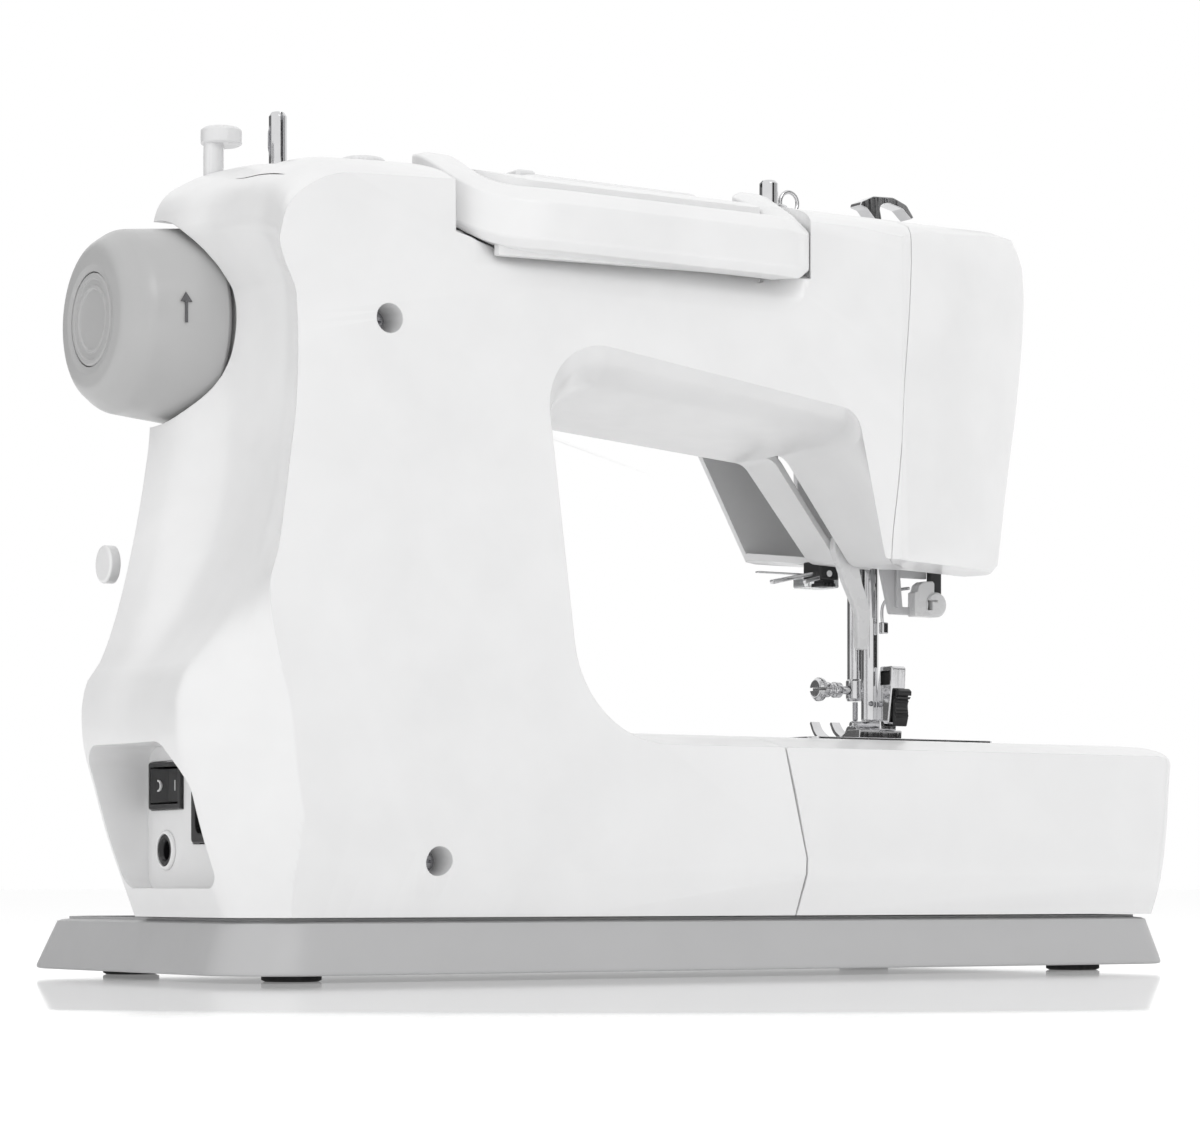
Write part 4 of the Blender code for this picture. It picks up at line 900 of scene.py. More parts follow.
def copied(obj):
    made = bpy.data.objects.new(obj.name, obj.data.copy())
    bpy.context.scene.collection.objects.link(made)
    return made


def casings():
    hollow = hollow_solid("hollow")
    rear_cover(hollow)
    front_cover(hollow)
    face_cover(hollow)
    bpy.data.objects.remove(hollow)


# ---------------------------------------------------------------- base, feet, table and free arm
def plan_outline(x0, x1, y0, y1, left, right, z, steps=10):
    corners = [(x0, y0, left), (x1, y0, right), (x1, y1, right), (x0, y1, left)]
    return [(x, y, z) for x, y in filleted(corners, steps)]


def base_plate():
    """A grey tray with leaning sides, a thin shadow step under the casings and ribs inside."""
    z0, z1 = BASE_Z
    sides = [
        (0.0, 1.2, 0.0), (0.35, 0.35, 0.0), (1.2, 0.0, 0.0), (None, None, 1.0), (-0.7, 0.25, 1.0),
        (-0.25, 0.9, 1.0),
    ]
    sections = []
    for rise, pull, share in sides:
        z = z1 - 1.5 if rise is None else (z0 + rise if share == 0 else z1 - 0.8 + rise)
        pull = 0.0 if pull is None else pull
        up = (z - z0) / (z1 - z0)
        x0, x1, y = blended(-189, -184, up) + pull, blended(182, 175, up) - pull, blended(84, 78, up) - pull
        sections.append(plan_outline(x0, x1, -y, y, blended(12, 9, up), blended(24, 22, up), z))
    for inner, z in ((3.2, z1 - 0.8), (3.2, z1)):
        sections.append(plan_outline(-184 + inner, 175 - inner, -78 + inner, 78 - inner, 7, 19, z))
    tray = loft("base_tray", sections)
    cut(tray, slab("inside", "Z", [(-179, -72, 6), (169, -72, 16), (169, 72, 16), (-179, 72, 6)], z0 + 3,
                   z1 + 5, 1))
    ribs = [box("rib", (x, -74, z0 + 2), (x + 1.8, 74, z0 + 9)) for x in spaced(-150, 150, 6)]
    join(tray, *ribs)
    finish_piece(tray, "machine", "grey_base", ["base_plate"])


def feet():
    """Rubber feet with a dimple, each around a steel washer."""
    for i in range(4):
        node = f"foot_{i + 1}"
        x, y, _ = middle(node)
        place = (x, y - SHIFT_Y, 0)
        top = high(node)[2]
        foot = turned(f"{node}_rubber", "Z", place, [(0, 8.2, 0.3), (0.5, 9.4, 0.3), (top, 9.4, 0.2)], 48)
        cut(foot, turned("dimple", "Z", place, [(-1, 5.2), (0.7, 4.4)], 32))
        finish_piece(foot, "machine", "rubber", [node])
        ring = turned(f"{node}_washer", "Z", place, [(0.35, 4.2), (top - 0.4, 3.2)], 32)
        finish_piece(ring, "machine", "steel")


def table_corners(y, fine=True):
    """The extension table's outline, as (x, z, radius), at a depth."""
    bed = smooth(BED_TOP_BY_DEPTH, y)
    pull = smooth([(58, 0.0), (70, 0.8), (78, 3.2), (82, 6.4), (BACK_Y, 10.0)], abs(y))
    free = TABLE_X + pull
    reach = [(BODY_Z0, 9.0), (33.8, 4.5), (52, 1.9), (70, 0.6), (BED_EDGE_Z, 0.0)]
    levels = [BODY_Z0 + (bed - 6 - BODY_Z0) * k / 12 for k in range(13)]
    corners = [(free + smooth(reach, z), z, 0) for z in levels]
    corners += [(free, bed, 3.6), (-19.8, bed, 0.8), (-23.6, 61, 0), (-28.6, 39, 0), (-28.4, 30, 0),
                (-27.6, BODY_Z0, 0)]
    return corners


def extension_table():
    """The storage table around the free arm, with its front compartment and its inner ribs."""
    depths = [*spaced(FRONT_Y, -58, 14), *spaced(-58, 58, 12), *spaced(58, BACK_Y, 14), BACK_Y]
    table = casing_solid("table_shell", table_corners, [(d, d) for d in depths], steps=8)
    cut(table, skirt_cutter())
    cut(table, box("slot", (ARM_X - 0.6, ARM_Y[0] - 0.6, 10), (0, ARM_Y[1] + 0.6, 100)))
    cut(table, box("under_back", (-184, ARM_Y[1] + 3, 10), (-32, 75.5, 72)))
    cut(table, box("under_end", (-184, -50, 10), (-171.2, ARM_Y[1] + 5, 76)))
    lid_low, lid_high = low("table_lid"), high("table_lid")
    cut(table, box("store", (lid_low[0] - 0.4, -90, lid_low[2] - 0.5),
                   (lid_high[0] + 0.4, -55.5, lid_high[2] + 0.4)))
    join(table, *[box("rib", (x, 37, 30), (x + 1.6, 76, 60)) for x in spaced(-160, -40, 4)])
    finish_piece(table, "table", "white_shell", ["extension_table"])


def table_lid():
    """The compartment's door: a thin panel on a barrel, with a finger notch at its top."""
    (x0, _, z0), (x1, _, z1) = low("table_lid"), high("table_lid")
    lid = slab("lid_panel", "Y", [(x0, z0 + 2.7, 1.5), (x1, z0 + 2.7, 1.5), (x1, z1, 4), (x0, z1, 4)],
               -83.6, -81.4, 0.5)
    barrel_y, barrel_z = -82.2, 28.0
    join(lid, rod("barrel", "X", (x0, barrel_y, barrel_z), x1 - x0, 1.7, 32, 0.3))
    notch = turned("notch", "Z", ((x0 + x1) / 2, -88.2, 0), [(z1 - 7, 6.2, 2), (z1 + 4, 6.2)], 48)
    cut(lid, notch)
    finish_piece(lid, "lid", "white_shell", ["table_lid"])


def free_arm():
    """The narrow bed under the needle: a thin shell, open under the needle plate."""
    y0, y1 = ARM_Y
    shell = slab("arm_shell", "X", [(y0, ARM_Z0, 7), (y1, ARM_Z0, 7), (y1, BED_Z, 4), (y0, BED_Z, 4)],
                 ARM_X, -28.4, 1.6, 8)
    inner = [(y0 + WALL, ARM_Z0 + WALL, 5), (y1 - WALL, ARM_Z0 + WALL, 5), (y1 - WALL, BED_Z - WALL, 2),
             (y0 + WALL, BED_Z - WALL, 2)]
    cut(shell, slab("inside", "X", inner, ARM_X + WALL, -20, 1))
    cut(shell, box("opening", (-140, -44, 72), (-90, 14, 90)))
    finish_piece(shell, "machine", "white_shell", ["free_arm"])


def needle_plate():
    """The polished stitch plate, with its slots, engraved guide lines and two screws."""
    z0, z1 = PLATE_Z
    plate = slab("stitch_plate", "Z", rect(-152, -47, -70, 29, 4), z0, z1, 0.25, 8)
    y0, y1 = low("feed_dog")[1] - SHIFT_Y - 2.6, high("feed_dog")[1] - SHIFT_Y + 2.6
    for x0, x1 in feed_rows():
        cut(plate, slab("slot", "Z", rect(x0 - 0.5, y0, x1 + 0.5, y1, 1.4), z0 - 5, z1 + 5, 0.05))
    half = 3.4
    hole = rect(NEEDLE_X - half, NEEDLE_Y - 1.2, NEEDLE_X + half, NEEDLE_Y + 1.2, 1.1)
    cut(plate, slab("needle_hole", "Z", hole, z0 - 5, z1 + 5, 0.05))
    (x0, _, _), (x1, y1, _) = low("bobbin_cover"), high("bobbin_cover")
    cut(plate, box("notch", (x0 - GAP, -60, z0 - 5), (x1 + GAP, y1 - SHIFT_Y + GAP, z1 + 5)))
    for k in range(5):
        for side in (-1, 1):
            x = NEEDLE_X + side * (14 + 5 * k)
            cut(plate, box("line", (x - 0.15, -8, z1 - 0.15), (x + 0.15, 14, z1 + 1)))
    for x, y in PLATE_SCREWS:
        cut(plate, turned("sink", "Z", (x, y, 0), [(z1 - 1, 2.0), (z1 + 0.05, 3.3)], 32))
    finish_piece(plate, "machine", "chrome", ["needle_plate"])
    for i, (x, y) in enumerate(PLATE_SCREWS):
        screw = turned(f"plate_screw_{i + 1}", "Z", (x, y, 0), [(z1 - 0.9, 1.8), (z1 - 0.1, 3.0, 0.1)], 32)
        cut(screw, box("slot", (x - 4, y - 0.35, z1 - 0.5), (x + 4, y + 0.35, z1 + 1)))
        finish_piece(screw, "machine", "steel")


def feed_rows():
    """The two toothed rows, as (x from, x to)."""
    x0, x1 = span("feed_dog", "X")
    return (x0, x0 + 2.4), (x1 - 2.4, x1)


def bobbin_cover():
    """The clear slide cover over the hook, with a ribbed thumb patch."""
    (x0, y0, z0), (x1, y1, z1) = low("bobbin_cover"), high("bobbin_cover")
    cover = slab("slide_cover", "Z", [(x0, y0 - SHIFT_Y, 2), (x1, y0 - SHIFT_Y, 2), (x1, y1 - SHIFT_Y, 0.6),
                                      (x0, y1 - SHIFT_Y, 0.6)], z0, z1, 0.2)
    cut(cover, slab("patch", "Z", rect(NEEDLE_X - 6, -44, NEEDLE_X + 6, -38, 2), z1 - 0.5, z1 + 2, 0.1))
    ribs = [block("rib", (NEEDLE_X - 4.5, y, z1 - 0.6), (NEEDLE_X + 4.5, y + 0.6, z1 - 0.02),
                  0.12) for y in (-43, -41.3, -39.6)]
    join(cover, *ribs)
    finish_piece(cover, "bobbin_door", "clear_lens", ["bobbin_cover"])


# ---------------------------------------------------------------- handle and handwheel
def carry_handle():
    """A grip that bends forwards at both ends to its pivots, with a lip along its lower inner edge."""
    section = [(-7, 231, 1, 1.0), (-4, 229, 1, 1.0), (4.5, 229, 1.6, 1.0), (GRIP_BACK, 231.5, 1.6, 1.0),
               (GRIP_BACK, 243.4, 1.4, 1.25), (3, 248.6, 3, 0.95), (-4, 250, 2, 0.85),
               (-7.5, 248.4, 1.5, 0.85)]
    grip = swept_handle("handle_grip", section)
    x0, x1 = HANDLE_X
    hubs = [rod("hub", "X", (x, *HANDLE_PIVOT), 12, 6.2, 40, 0.6) for x in (x0 + 0.5, x1 - 12.5)]
    join(grip, *hubs)
    lip_x0, lip_x1 = x0 + 18, x1 - 16
    lip = [(lip_x0, 82.0), (lip_x1, 82.0), (lip_x1, 84.6), (lip_x0, 84.6)]
    low_lip = [(x, y, 229.9 - 2.7 * (x - lip_x0) / (lip_x1 - lip_x0)) for x, y in lip]
    join(grip, loft("lip", [low_lip, [(x, y, 232) for x, y in lip]]))
    finish_piece(grip, "handle", "white_shell", ["carry_handle"])


def handwheel():
    """The balance wheel: a flat face, a broad rounded shoulder, a slightly conical side and a capped hub."""
    centre = (0, 0, WHEEL_Z)
    x0 = low("handwheel")[0]
    radius = WHEEL_R - 0.1
    profile = [(x0, 28, 0.5), (x0 + 0.5, radius - 1.2, 0.8), (x0 + 2, radius, 1.0),
               (WHEEL_X - 8, radius - 2.6, 9.5),
               (WHEEL_X - 0.6, 24, 7), (WHEEL_X, 17.4, 1.2), (WHEEL_X - 0.4, 15.4, 0.3)]
    wheel = turned("wheel_rim", "X", centre, profile, 128, 10)
    cut(wheel, rod("bore", "X", (150, 0, WHEEL_Z), 60, 5.3, 48),
        rod("pit", "X", (WHEEL_X - 5.8, 0, WHEEL_Z), 10, 15.1, 96))
    finish_piece(wheel, "drive", "grey_wheel", ["handwheel"])
    cap = turned("wheel_hub_cap", "X", centre, [
        (WHEEL_X - 5.5, 14.8), (WHEEL_X - 0.7, 14.8, 0.3), (WHEEL_X - 0.2, 14.2, 0.4),
        (WHEEL_X - 0.2, 12.9, 0.2),
        (WHEEL_X - 0.8, 12.6, 0.1), (WHEEL_X - 0.8, 10.9, 0.1), (WHEEL_X - 0.3, 10.6, 0.2),
        (WHEEL_X - 0.3, 9.8, 0.2),
        (WHEEL_X - 0.9, 9.4, 0.2)], 96)
    finish_piece(cap, "drive", "grey_wheel", ["wheel_cap"])
    wheel_arrow(radius)


def wheel_arrow(radius):
    """A thin printed arrow on the wheel's side: which way it turns."""
    x = WHEEL_X - 19
    outline = [(-4.6, -0.45), (2.2, -0.45), (2.2, -2.0), (5.4, 0), (2.2, 2.0), (2.2, 0.45), (-4.6, 0.45)]
    tilt = math.radians(2)
    layers = []
    for lift in (-0.25, 0.06):
        ring = []
        for along_rim, across in outline:
            turn = tilt + along_rim / radius
            reach = radius - 0.9 + lift
            ring.append((x - across, reach * math.cos(turn), WHEEL_Z + reach * math.sin(turn)))
        layers.append(ring)
    finish_piece(loft("wheel_arrow", layers), "drive", "mark")


# ---------------------------------------------------------------- top fittings
def knurled(amount, count):
    """A ripple for turned(): shallow flutes around a rim."""
    return lambda angle, t, r: r - amount * max(0.0, math.cos(count * angle)) ** 4 if r > 4 else r


def winder():
    """The bobbin winder's slit spindle with its spring, and the stop beside it."""
    x, y, _ = FITTINGS["winder_spindle"]
    spindle = turned("spindle", "Z", (x, y, 0), [
        (246, 2.6), (262.6, 2.6), (263.0, 5.2, 0.3), (264.0, 5.2, 0.3), (264.8, 3.6, 0.4), (265.4, 3.0, 0.2),
        (281.6, 3.0, 0.5), (283, 2.1, 0.4)], 48)
    cut(spindle, box("slit", (x - 0.5, -5, 268), (x + 0.5, 5, 290)),
        rod("bore", "Z", (x, y, 277), 10, 1.3, 24))
    finish_piece(spindle, "winder", "chrome", ["winder_spindle"])
    spring = tube("spindle_spring", [(127.2, 0, 267), (127.9, 0, 271), (127.9, 0, 276), (127.0, 0, 280)],
                  0.35, 10)
    finish_piece(spring, "winder", "steel")
    x, y, _ = FITTINGS["winder_stop"]
    post = turned("stop_post", "Z", (x, y, 0), [(POST_Z0, 3.3), (266, 3.3), (272, 3.2)], 40)
    head = turned("stop_head", "Z", (x - 2.8, y, 0), [
        (269.9, 5.8, 0.4), (270.4, 6.7, 0.5), (274.8, 6.7, 0.9), (275.6, 5.6, 0.6)], 64)
    join(post, head)
    finish_piece(post, "machine", "white_knob", ["winder_stop"])


def top_dial():
    """The fluted pressure dial with a pointer line."""
    x, y, _ = FITTINGS["top_dial"]
    profile = [(POST_Z0, 3.7), (263.5, 3.7), (263.5, 7.9, 0.4), (270.2, 7.8, 0.9), (271.2, 6.8, 0.8)]
    dial = turned("pressure_dial", "Z", (x, y, 0), profile, 144, 4, knurled(0.3, 36))
    pointer = rect(x - 0.5, 2, x + 0.5, 6.6, 0.3)
    cut(dial, slab("pointer", "Z", pointer, 270.7, 275, 0.1))
    finish_piece(dial, "top", "white_knob", ["top_dial"])


def spool_rod():
    """The lying spool pin, with a rounded tip and its hinge block."""
    pin = turned("spool_rod", "X", (0, 0, 270.5), [(-27, 1.2, 0.5), (-25.6, 2.5, 1.2), (30, 2.6)], 40)
    join(pin, block("hinge", (28, -5, 263.5), (36, 5, 273.4), 1.6, "Y"))
    for k in range(3):
        cut(pin, rod("groove", "X", (24 - 3 * k, 0, 274.4), 1.2, 1.5, 24))
    finish_piece(pin, "machine", "white_knob", ["spool_pin"])


def winder_tension():
    """Two stacked discs on a stud with a curled thread wire."""
    x, y, _ = FITTINGS["winder_tension"]
    stud = turned("tension_stud", "Z", (x, y, 0), [
        (POST_Z0, 2.7), (DECK_Z, 2.7), (DECK_Z, 5.4, 0.3), (265.8, 5.6, 0.4), (266.4, 3.0, 0.2),
        (267.2, 3.0, 0.2), (267.4, 6.6, 0.2), (268.4, 6.9, 0.2), (269.4, 5.2, 0.4), (270.4, 3.2, 0.4),
        (271.2, 5.2, 0.4), (272.2, 6.9, 0.2), (273.2, 6.6, 0.2), (273.6, 3.4, 0.3), (281.4, 3.4, 0.6),
        (282.4, 2.4, 0.4)], 72)
    cut(stud, box("slot", (x - 5, y - 0.6, 279.6), (x + 5, y + 0.6, 286)))
    finish_piece(stud, "machine", "chrome", ["winder_tension"])
    turns = []
    for k in range(29):
        a = math.radians(-40 + 11 * k)
        turns.append((x - 8.6 + 3.6 * math.cos(a), y + 0.03 * k, 275.4 + 3.8 * math.sin(a)))
    wire = tube("tension_wire", [(x, y, 270.8), (x - 4, y, 271.4), *turns], 0.75, 12)
    finish_piece(wire, "machine", "chrome")


def thread_guide():
    """A bent sheet-metal hook on the head's top."""
    x, y, _ = FITTINGS["thread_guide"]
    post = rod("guide_post", "Z", (x, y, POST_Z0), 16, 2.0, 32, 0.3)
    base = slab("guide_base", "Z", rect(x - 6, -3.5, x + 6, 3.5, 1.5), DECK_Z, 265.2, 0.3)
    strip = [(x + 2.6, 265, 0.4), (x + 2.2, 271, 2), (x + 6, 274.8, 2), (x + 9, 275.6, 0.5),
             (x + 8.6, 277, 0.5), (x + 3, 279.6, 3), (x - 6, 280, 5), (x - 12, 277.8, 3),
             (x - 15.4, 273.4, 0.5), (x - 14, 272.8, 0.4), (x - 10, 276.2, 2), (x - 4, 277.6, 3),
             (x + 0.4, 276.6, 2), (x - 0.6, 272, 2), (x - 0.2, 265, 0.4)]
    hook = slab("guide_hook", "Y", strip, -3.2, 3.2, 0.3)
    join(post, base, hook)
    cut(post, rod("eye", "Y", (x - 3, -6, 278.6), 12, 0.6, 20))
    finish_piece(post, "machine", "chrome", ["thread_guide"])


def deck_details():
    """A raised ridge behind the spool pin and a shallow bump beside it, on the deck."""
    ridge = block("deck_ridge", (-13, 20, 258.4), (58, 46, 262.9), 1.8, "Z", 6)
    finish_piece(ridge, "machine", "white_shell")
    bump = block("deck_bump", (-61, 9, 258.4), (-36, 27, 265.4), 2.4, "Z", 7)
    finish_piece(bump, "machine", "white_shell")


# ---------------------------------------------------------------- switch, sockets and screws
def switch_and_sockets():
    """The rocker switch with its frame and marks, the inlet and the jack."""
    x = RECESS_FLOOR_X
    y0, y1 = span("switch_frame", "Y")
    z0, z1 = span("switch_frame", "Z")
    bezel = slab("switch_bezel", "X", rect(y0, z0, y1, z1, 1), x - 10, x + 1.2, 0.4)
    cut(bezel, slab("opening", "X", rect(y0 + 1.6, z0 + 1.6, y1 - 1.6, z1 - 1.6, 0.5), x - 8, x + 6, 0.1))
    finish_piece(bezel, "machine", "black_plastic", ["switch_frame"])
    mid, half = (y0 + y1) / 2, (y1 - y0) / 2 - 2.4
    outline = [(x - 5, mid - half, 0.5), (x + 2.2, mid - half + 0.8, 0.7), (x - 0.4, mid, 4),
               (x - 0.6, mid + half - 0.6, 0.7),
               (x - 5, mid + half, 0.5)]
    rocker = slab("switch_rocker", "Z", outline, z0 + 2, z1 - 2, 0.5)
    finish_piece(rocker, "switch", "black_plastic", ["power_switch"])
    lean = 2.6 / (half - 0.8)
    mark_y, mark_z = mid - half * 0.5, (z0 + z1) / 2
    mark_x = x - 0.4 + lean * (mid - mark_y)
    ring = turned("off_mark", "X", (mark_x, mark_y, mark_z), [(-0.6, 1.9), (0.12, 1.9)], 32, 1)
    cut(ring, rod("bore", "X", (mark_x - 1, mark_y, mark_z), 3, 1.35, 32))
    finish_piece(ring, "switch", "white_mark")
    bar = block("on_mark", (x - 1.0, mid + half * 0.5 - 0.25, mark_z - 1.7),
                (x - 0.36, mid + half * 0.5 + 0.25, mark_z + 1.7), 0.1)
    finish_piece(bar, "switch", "white_mark")
    inlet(x)
    jack(x)


def inlet(x):
    """The mains inlet: a black housing with a mouth and two pins."""
    y0, y1 = span("inlet_body", "Y")
    z0, z1 = span("inlet_body", "Z")
    body = slab("inlet_housing", "X", rect(y0, z0, y1, z1, 1.5), x - 12, x + 0.9, 0.5)
    mouth = rect(y0 + 3, z0 + 3, y1 - 3, z1 - 3, 3)
    cut(body, slab("mouth", "X", mouth, x - 9, x + 9, 0.2))
    finish_piece(body, "machine", "black_plastic", ["inlet_body"])
    for i, share in enumerate((0.3, 0.7)):
        y = y0 + (y1 - y0) * share
        pin = turned(f"inlet_pin_{i + 1}", "X", (x, y, (z0 + z1) / 2),
                     [(-9.2, 1.2), (-2.4, 1.2, 0.4), (-1.6, 0.7, 0.3)], 24)
        finish_piece(pin, "machine", "chrome")


def jack(x):
    """The foot control's socket: a barrel with a pale rim."""
    _, y, z = middle("jack_body")
    y -= SHIFT_Y
    body = turned("jack_barrel", "X", (0, y, z), [(x - 12, JACK_R), (x + 0.9, JACK_R, 0.4)], 48)
    cut(body, turned("bore", "X", (0, y, z), [(x - 9, 3.0), (x - 0.2, 3.0, 0.3), (x + 1.4, 4.2)], 40))
    finish_piece(body, "machine", "black_plastic", ["jack_body"])
    ring = turned("jack_rim", "X", (0, y, z), [(x + 0.05, JACK_R + 1.3), (x + 0.7, JACK_R + 1.3, 0.4),
                                               (x + 1.1, JACK_R + 0.7, 0.2)], 48, 3)
    cut(ring, rod("bore", "X", (x - 2, y, z), 6, JACK_R + 0.05, 48))
    finish_piece(ring, "machine", "white_shell")


def case_screws():
    """Cross-headed screws at the bottom of their wells."""
    for i, (x, z) in enumerate(SCREW_WELLS):
        node = f"case_screw_{i + 1}"
        head = high(node)[1] - SHIFT_Y
        screw = turned(f"{node}_head", "Y", (x, 0, z), [
            (low(node)[1] - SHIFT_Y, 1.6), (head - 2.2, 1.6), (head - 2.2, 3.8, 0.2),
            (head - 0.6, 3.6, 0.8), (head, 2.4, 0.6)], 40)
        cross = [block("arm", (x - 2.1, head - 1.7, z - 0.45), (x + 2.1, head + 1, z + 0.45), 0.1),
                 block("arm", (x - 0.45, head - 1.7, z - 2.1), (x + 0.45, head + 1, z + 2.1), 0.1)]
        cut(screw, *cross)
        finish_piece(screw, "machine", "steel", [node])


def round_cap():
    """The oval-looking plug in the parting line of the pillar."""
    x0, x1 = span("round_cap", "X")
    cap = turned("plug", "X", (0, *PLUG_AT), [(x0, 6.2), (x1 - 0.3, 6.2, 0.5), (x1, 5.2, 0.8)], 64)
    finish_piece(cap, "machine", "white_shell", ["round_cap"])


# ---------------------------------------------------------------- needle, presser and the head's small parts
BAR_X = NEEDLE_X - 1.6
CLAMP_Z = 101
PRESSER_AT = (NEEDLE_X - 0.6, 1.4)
ANKLE_X = (NEEDLE_X - 8.0, NEEDLE_X - 1.6)


def needle_bar():
    """The needle bar with its clamp, the thumb screw and the needle."""
    z0, z1 = span("needle_bar", "Z")
    place = (BAR_X, NEEDLE_Y, 0)
    bar = turned("needle_rod", "Z", place, [(z0, 3.0, 0.4), (z0 + 1, 3.5, 0.4), (z0 + 7.4, 3.5, 0.4),
                                            (z0 + 8, 3.0, 0.2), (z1, 3.0, 0.4)], 56)
    cut(bar, rod("hole", "X", (BAR_X + 2, NEEDLE_Y, CLAMP_Z), 10, 1.8, 32))
    join(bar, block("clamp_block", (BAR_X - 3, NEEDLE_Y - 4, 157.5), (-107.5, NEEDLE_Y + 3.5, 164.5), 0.6))
    wire = tube("bar_guide", curve_points([(BAR_X - 1, NEEDLE_Y + 3.4, 99), (BAR_X - 5, NEEDLE_Y + 4.2, 99.6),
                                           (BAR_X - 8, NEEDLE_Y + 2.4, 99),
                                           (BAR_X - 6, NEEDLE_Y + 0.8, 98.4)]), 0.45, 10)
    finish_piece(bar, "needle_group", "chrome", ["needle_bar"])
    finish_piece(wire, "needle_group", "chrome")
    needle = turned("needle_blade", "Z", place, [
        (70, 0.12), (73, 0.42, 1.0), (89, 0.46), (90.4, 0.98, 0.4), (96.7, 1.0)], 24)
    cut(needle, block("eye", (BAR_X - 0.18, NEEDLE_Y - 3, 73.8), (BAR_X + 0.18, NEEDLE_Y + 3, 75.0), 0.08))
    finish_piece(needle, "needle_group", "steel", ["needle"])


def thumb_screw():
    """The clamp's thumb screw: a stepped shank and a rounded, slotted disc."""
    x0, x1 = low("clamp_screw")[0] - 1.4, high("clamp_screw")[0] - 1.4
    profile = [
        (x0, 1.5), (x0 + 4.6, 1.5), (x0 + 4.6, 2.9, 0.3), (x0 + 7.4, 2.9, 0.4), (x0 + 7.8, 2.2, 0.2),
        (x1 - 6.4, 2.2, 0.2),
        (x1 - 6.0, 2.8, 0.2), (x1 - 5.2, 2.8, 0.2), (x1 - 4.8, 2.1, 0.2), (x1 - 3.4, 2.3, 0.6),
        (x1 - 3.0, 4.2, 0.5),
        (x1 - 1.2, 4.4, 0.8), (x1, 3.2, 1.0)]
    screw = turned("thumb_screw", "X", (0, NEEDLE_Y, CLAMP_Z), profile, 96, 5, knurled(0.12, 30))
    cut(screw, block("slot", (x1 - 2.2, NEEDLE_Y - 8, 100.45), (x1 + 3, NEEDLE_Y + 8, 101.55), 0.15))
    finish_piece(screw, "clamp_thumb", "chrome", ["clamp_screw"])


def presser_bar():
    """The presser bar, its bracket inside the head, and the cast ankle beside it that holds the foot."""
    z0, z1 = span("presser_bar", "Z")
    x, y = PRESSER_AT
    bar = turned("presser_rod", "Z", (x, y, 0), [(z0 - 4.0, 3.2, 0.5), (z1, 3.2, 0.6)], 56)
    join(bar, block("bracket", (NEEDLE_X - 5, -4.5, 174), (NEEDLE_X + 5, 17, 182), 0.8))
    cut(bar, rod("pin_hole", "Y", (x + 1.4, y - 5, 95.6), 20, 0.9, 20))
    finish_piece(bar, "presser", "chrome", ["presser_bar"])
    x0, x1 = ANKLE_X
    side = [(2.6, 88.4, 0.6), (10.9, 88.2, 0.8), (13.0, 101, 0.3), (13.4, 109, 1.2), (6.0, 109, 0.8),
            (2.6, 90.5, 2)]
    ankle = slab("ankle_block", "X", side, x0, x1, 0.5)
    join(ankle, block("tongue", (x0 + 1.4, -2.6, 85.8), (x1 + 2.4, 9.5, 89.4), 0.5))
    cut(ankle, slab("window", "X", rect(6.4, 102.2, 12.2, 107.4, 0.3), x0 + 1, x1 + 4, 0.1))
    cut(ankle, block("lever_seat", (x0 - 3, 11.4, 80), (x1 - 0.5, 20, 100.6), 0.2))
    finish_piece(ankle, "presser", "chrome", ["foot_ankle"])
    inside = block("ankle_inside", (x0 + 1.02, 6.42, 102.24), (x0 + 2.4, 12.16, 107.36), 0.1)
    finish_piece(inside, "presser", "black_plastic")
    rivet = turned("ankle_rivet", "X", (0, 6.3, 95.4),
                   [(x1 - 0.3, 1.1), (x1 + 0.5, 1.1, 0.3), (x1 + 0.8, 0.6, 0.3)], 24)
    finish_piece(rivet, "presser", "steel")


def foot_release():
    """The ribbed black lever that drops the foot."""
    x0, x1 = ANKLE_X
    outline = [(11.7, 87.4, 0.3), (12.8, 87.2, 0.6), (14.0, 91, 2), (13.4, 95.5, 3), (15.6, 98, 0.8),
               (15.8, 99.8, 0.8),
               (14.4, 100.8, 0.4), (11.7, 100.4, 0.3)]
    lever = slab("release_lever", "X", outline, x0 - 0.8, x1 - 1.4, 0.4)
    ribs = [block("rib", (x0 - 1, 13.5, z), (x1 + 1, 18, z + 0.5), 0.1) for z in spaced(89, 99, 8)]
    cut(lever, *ribs)
    finish_piece(lever, "release", "black_plastic", ["foot_release"])


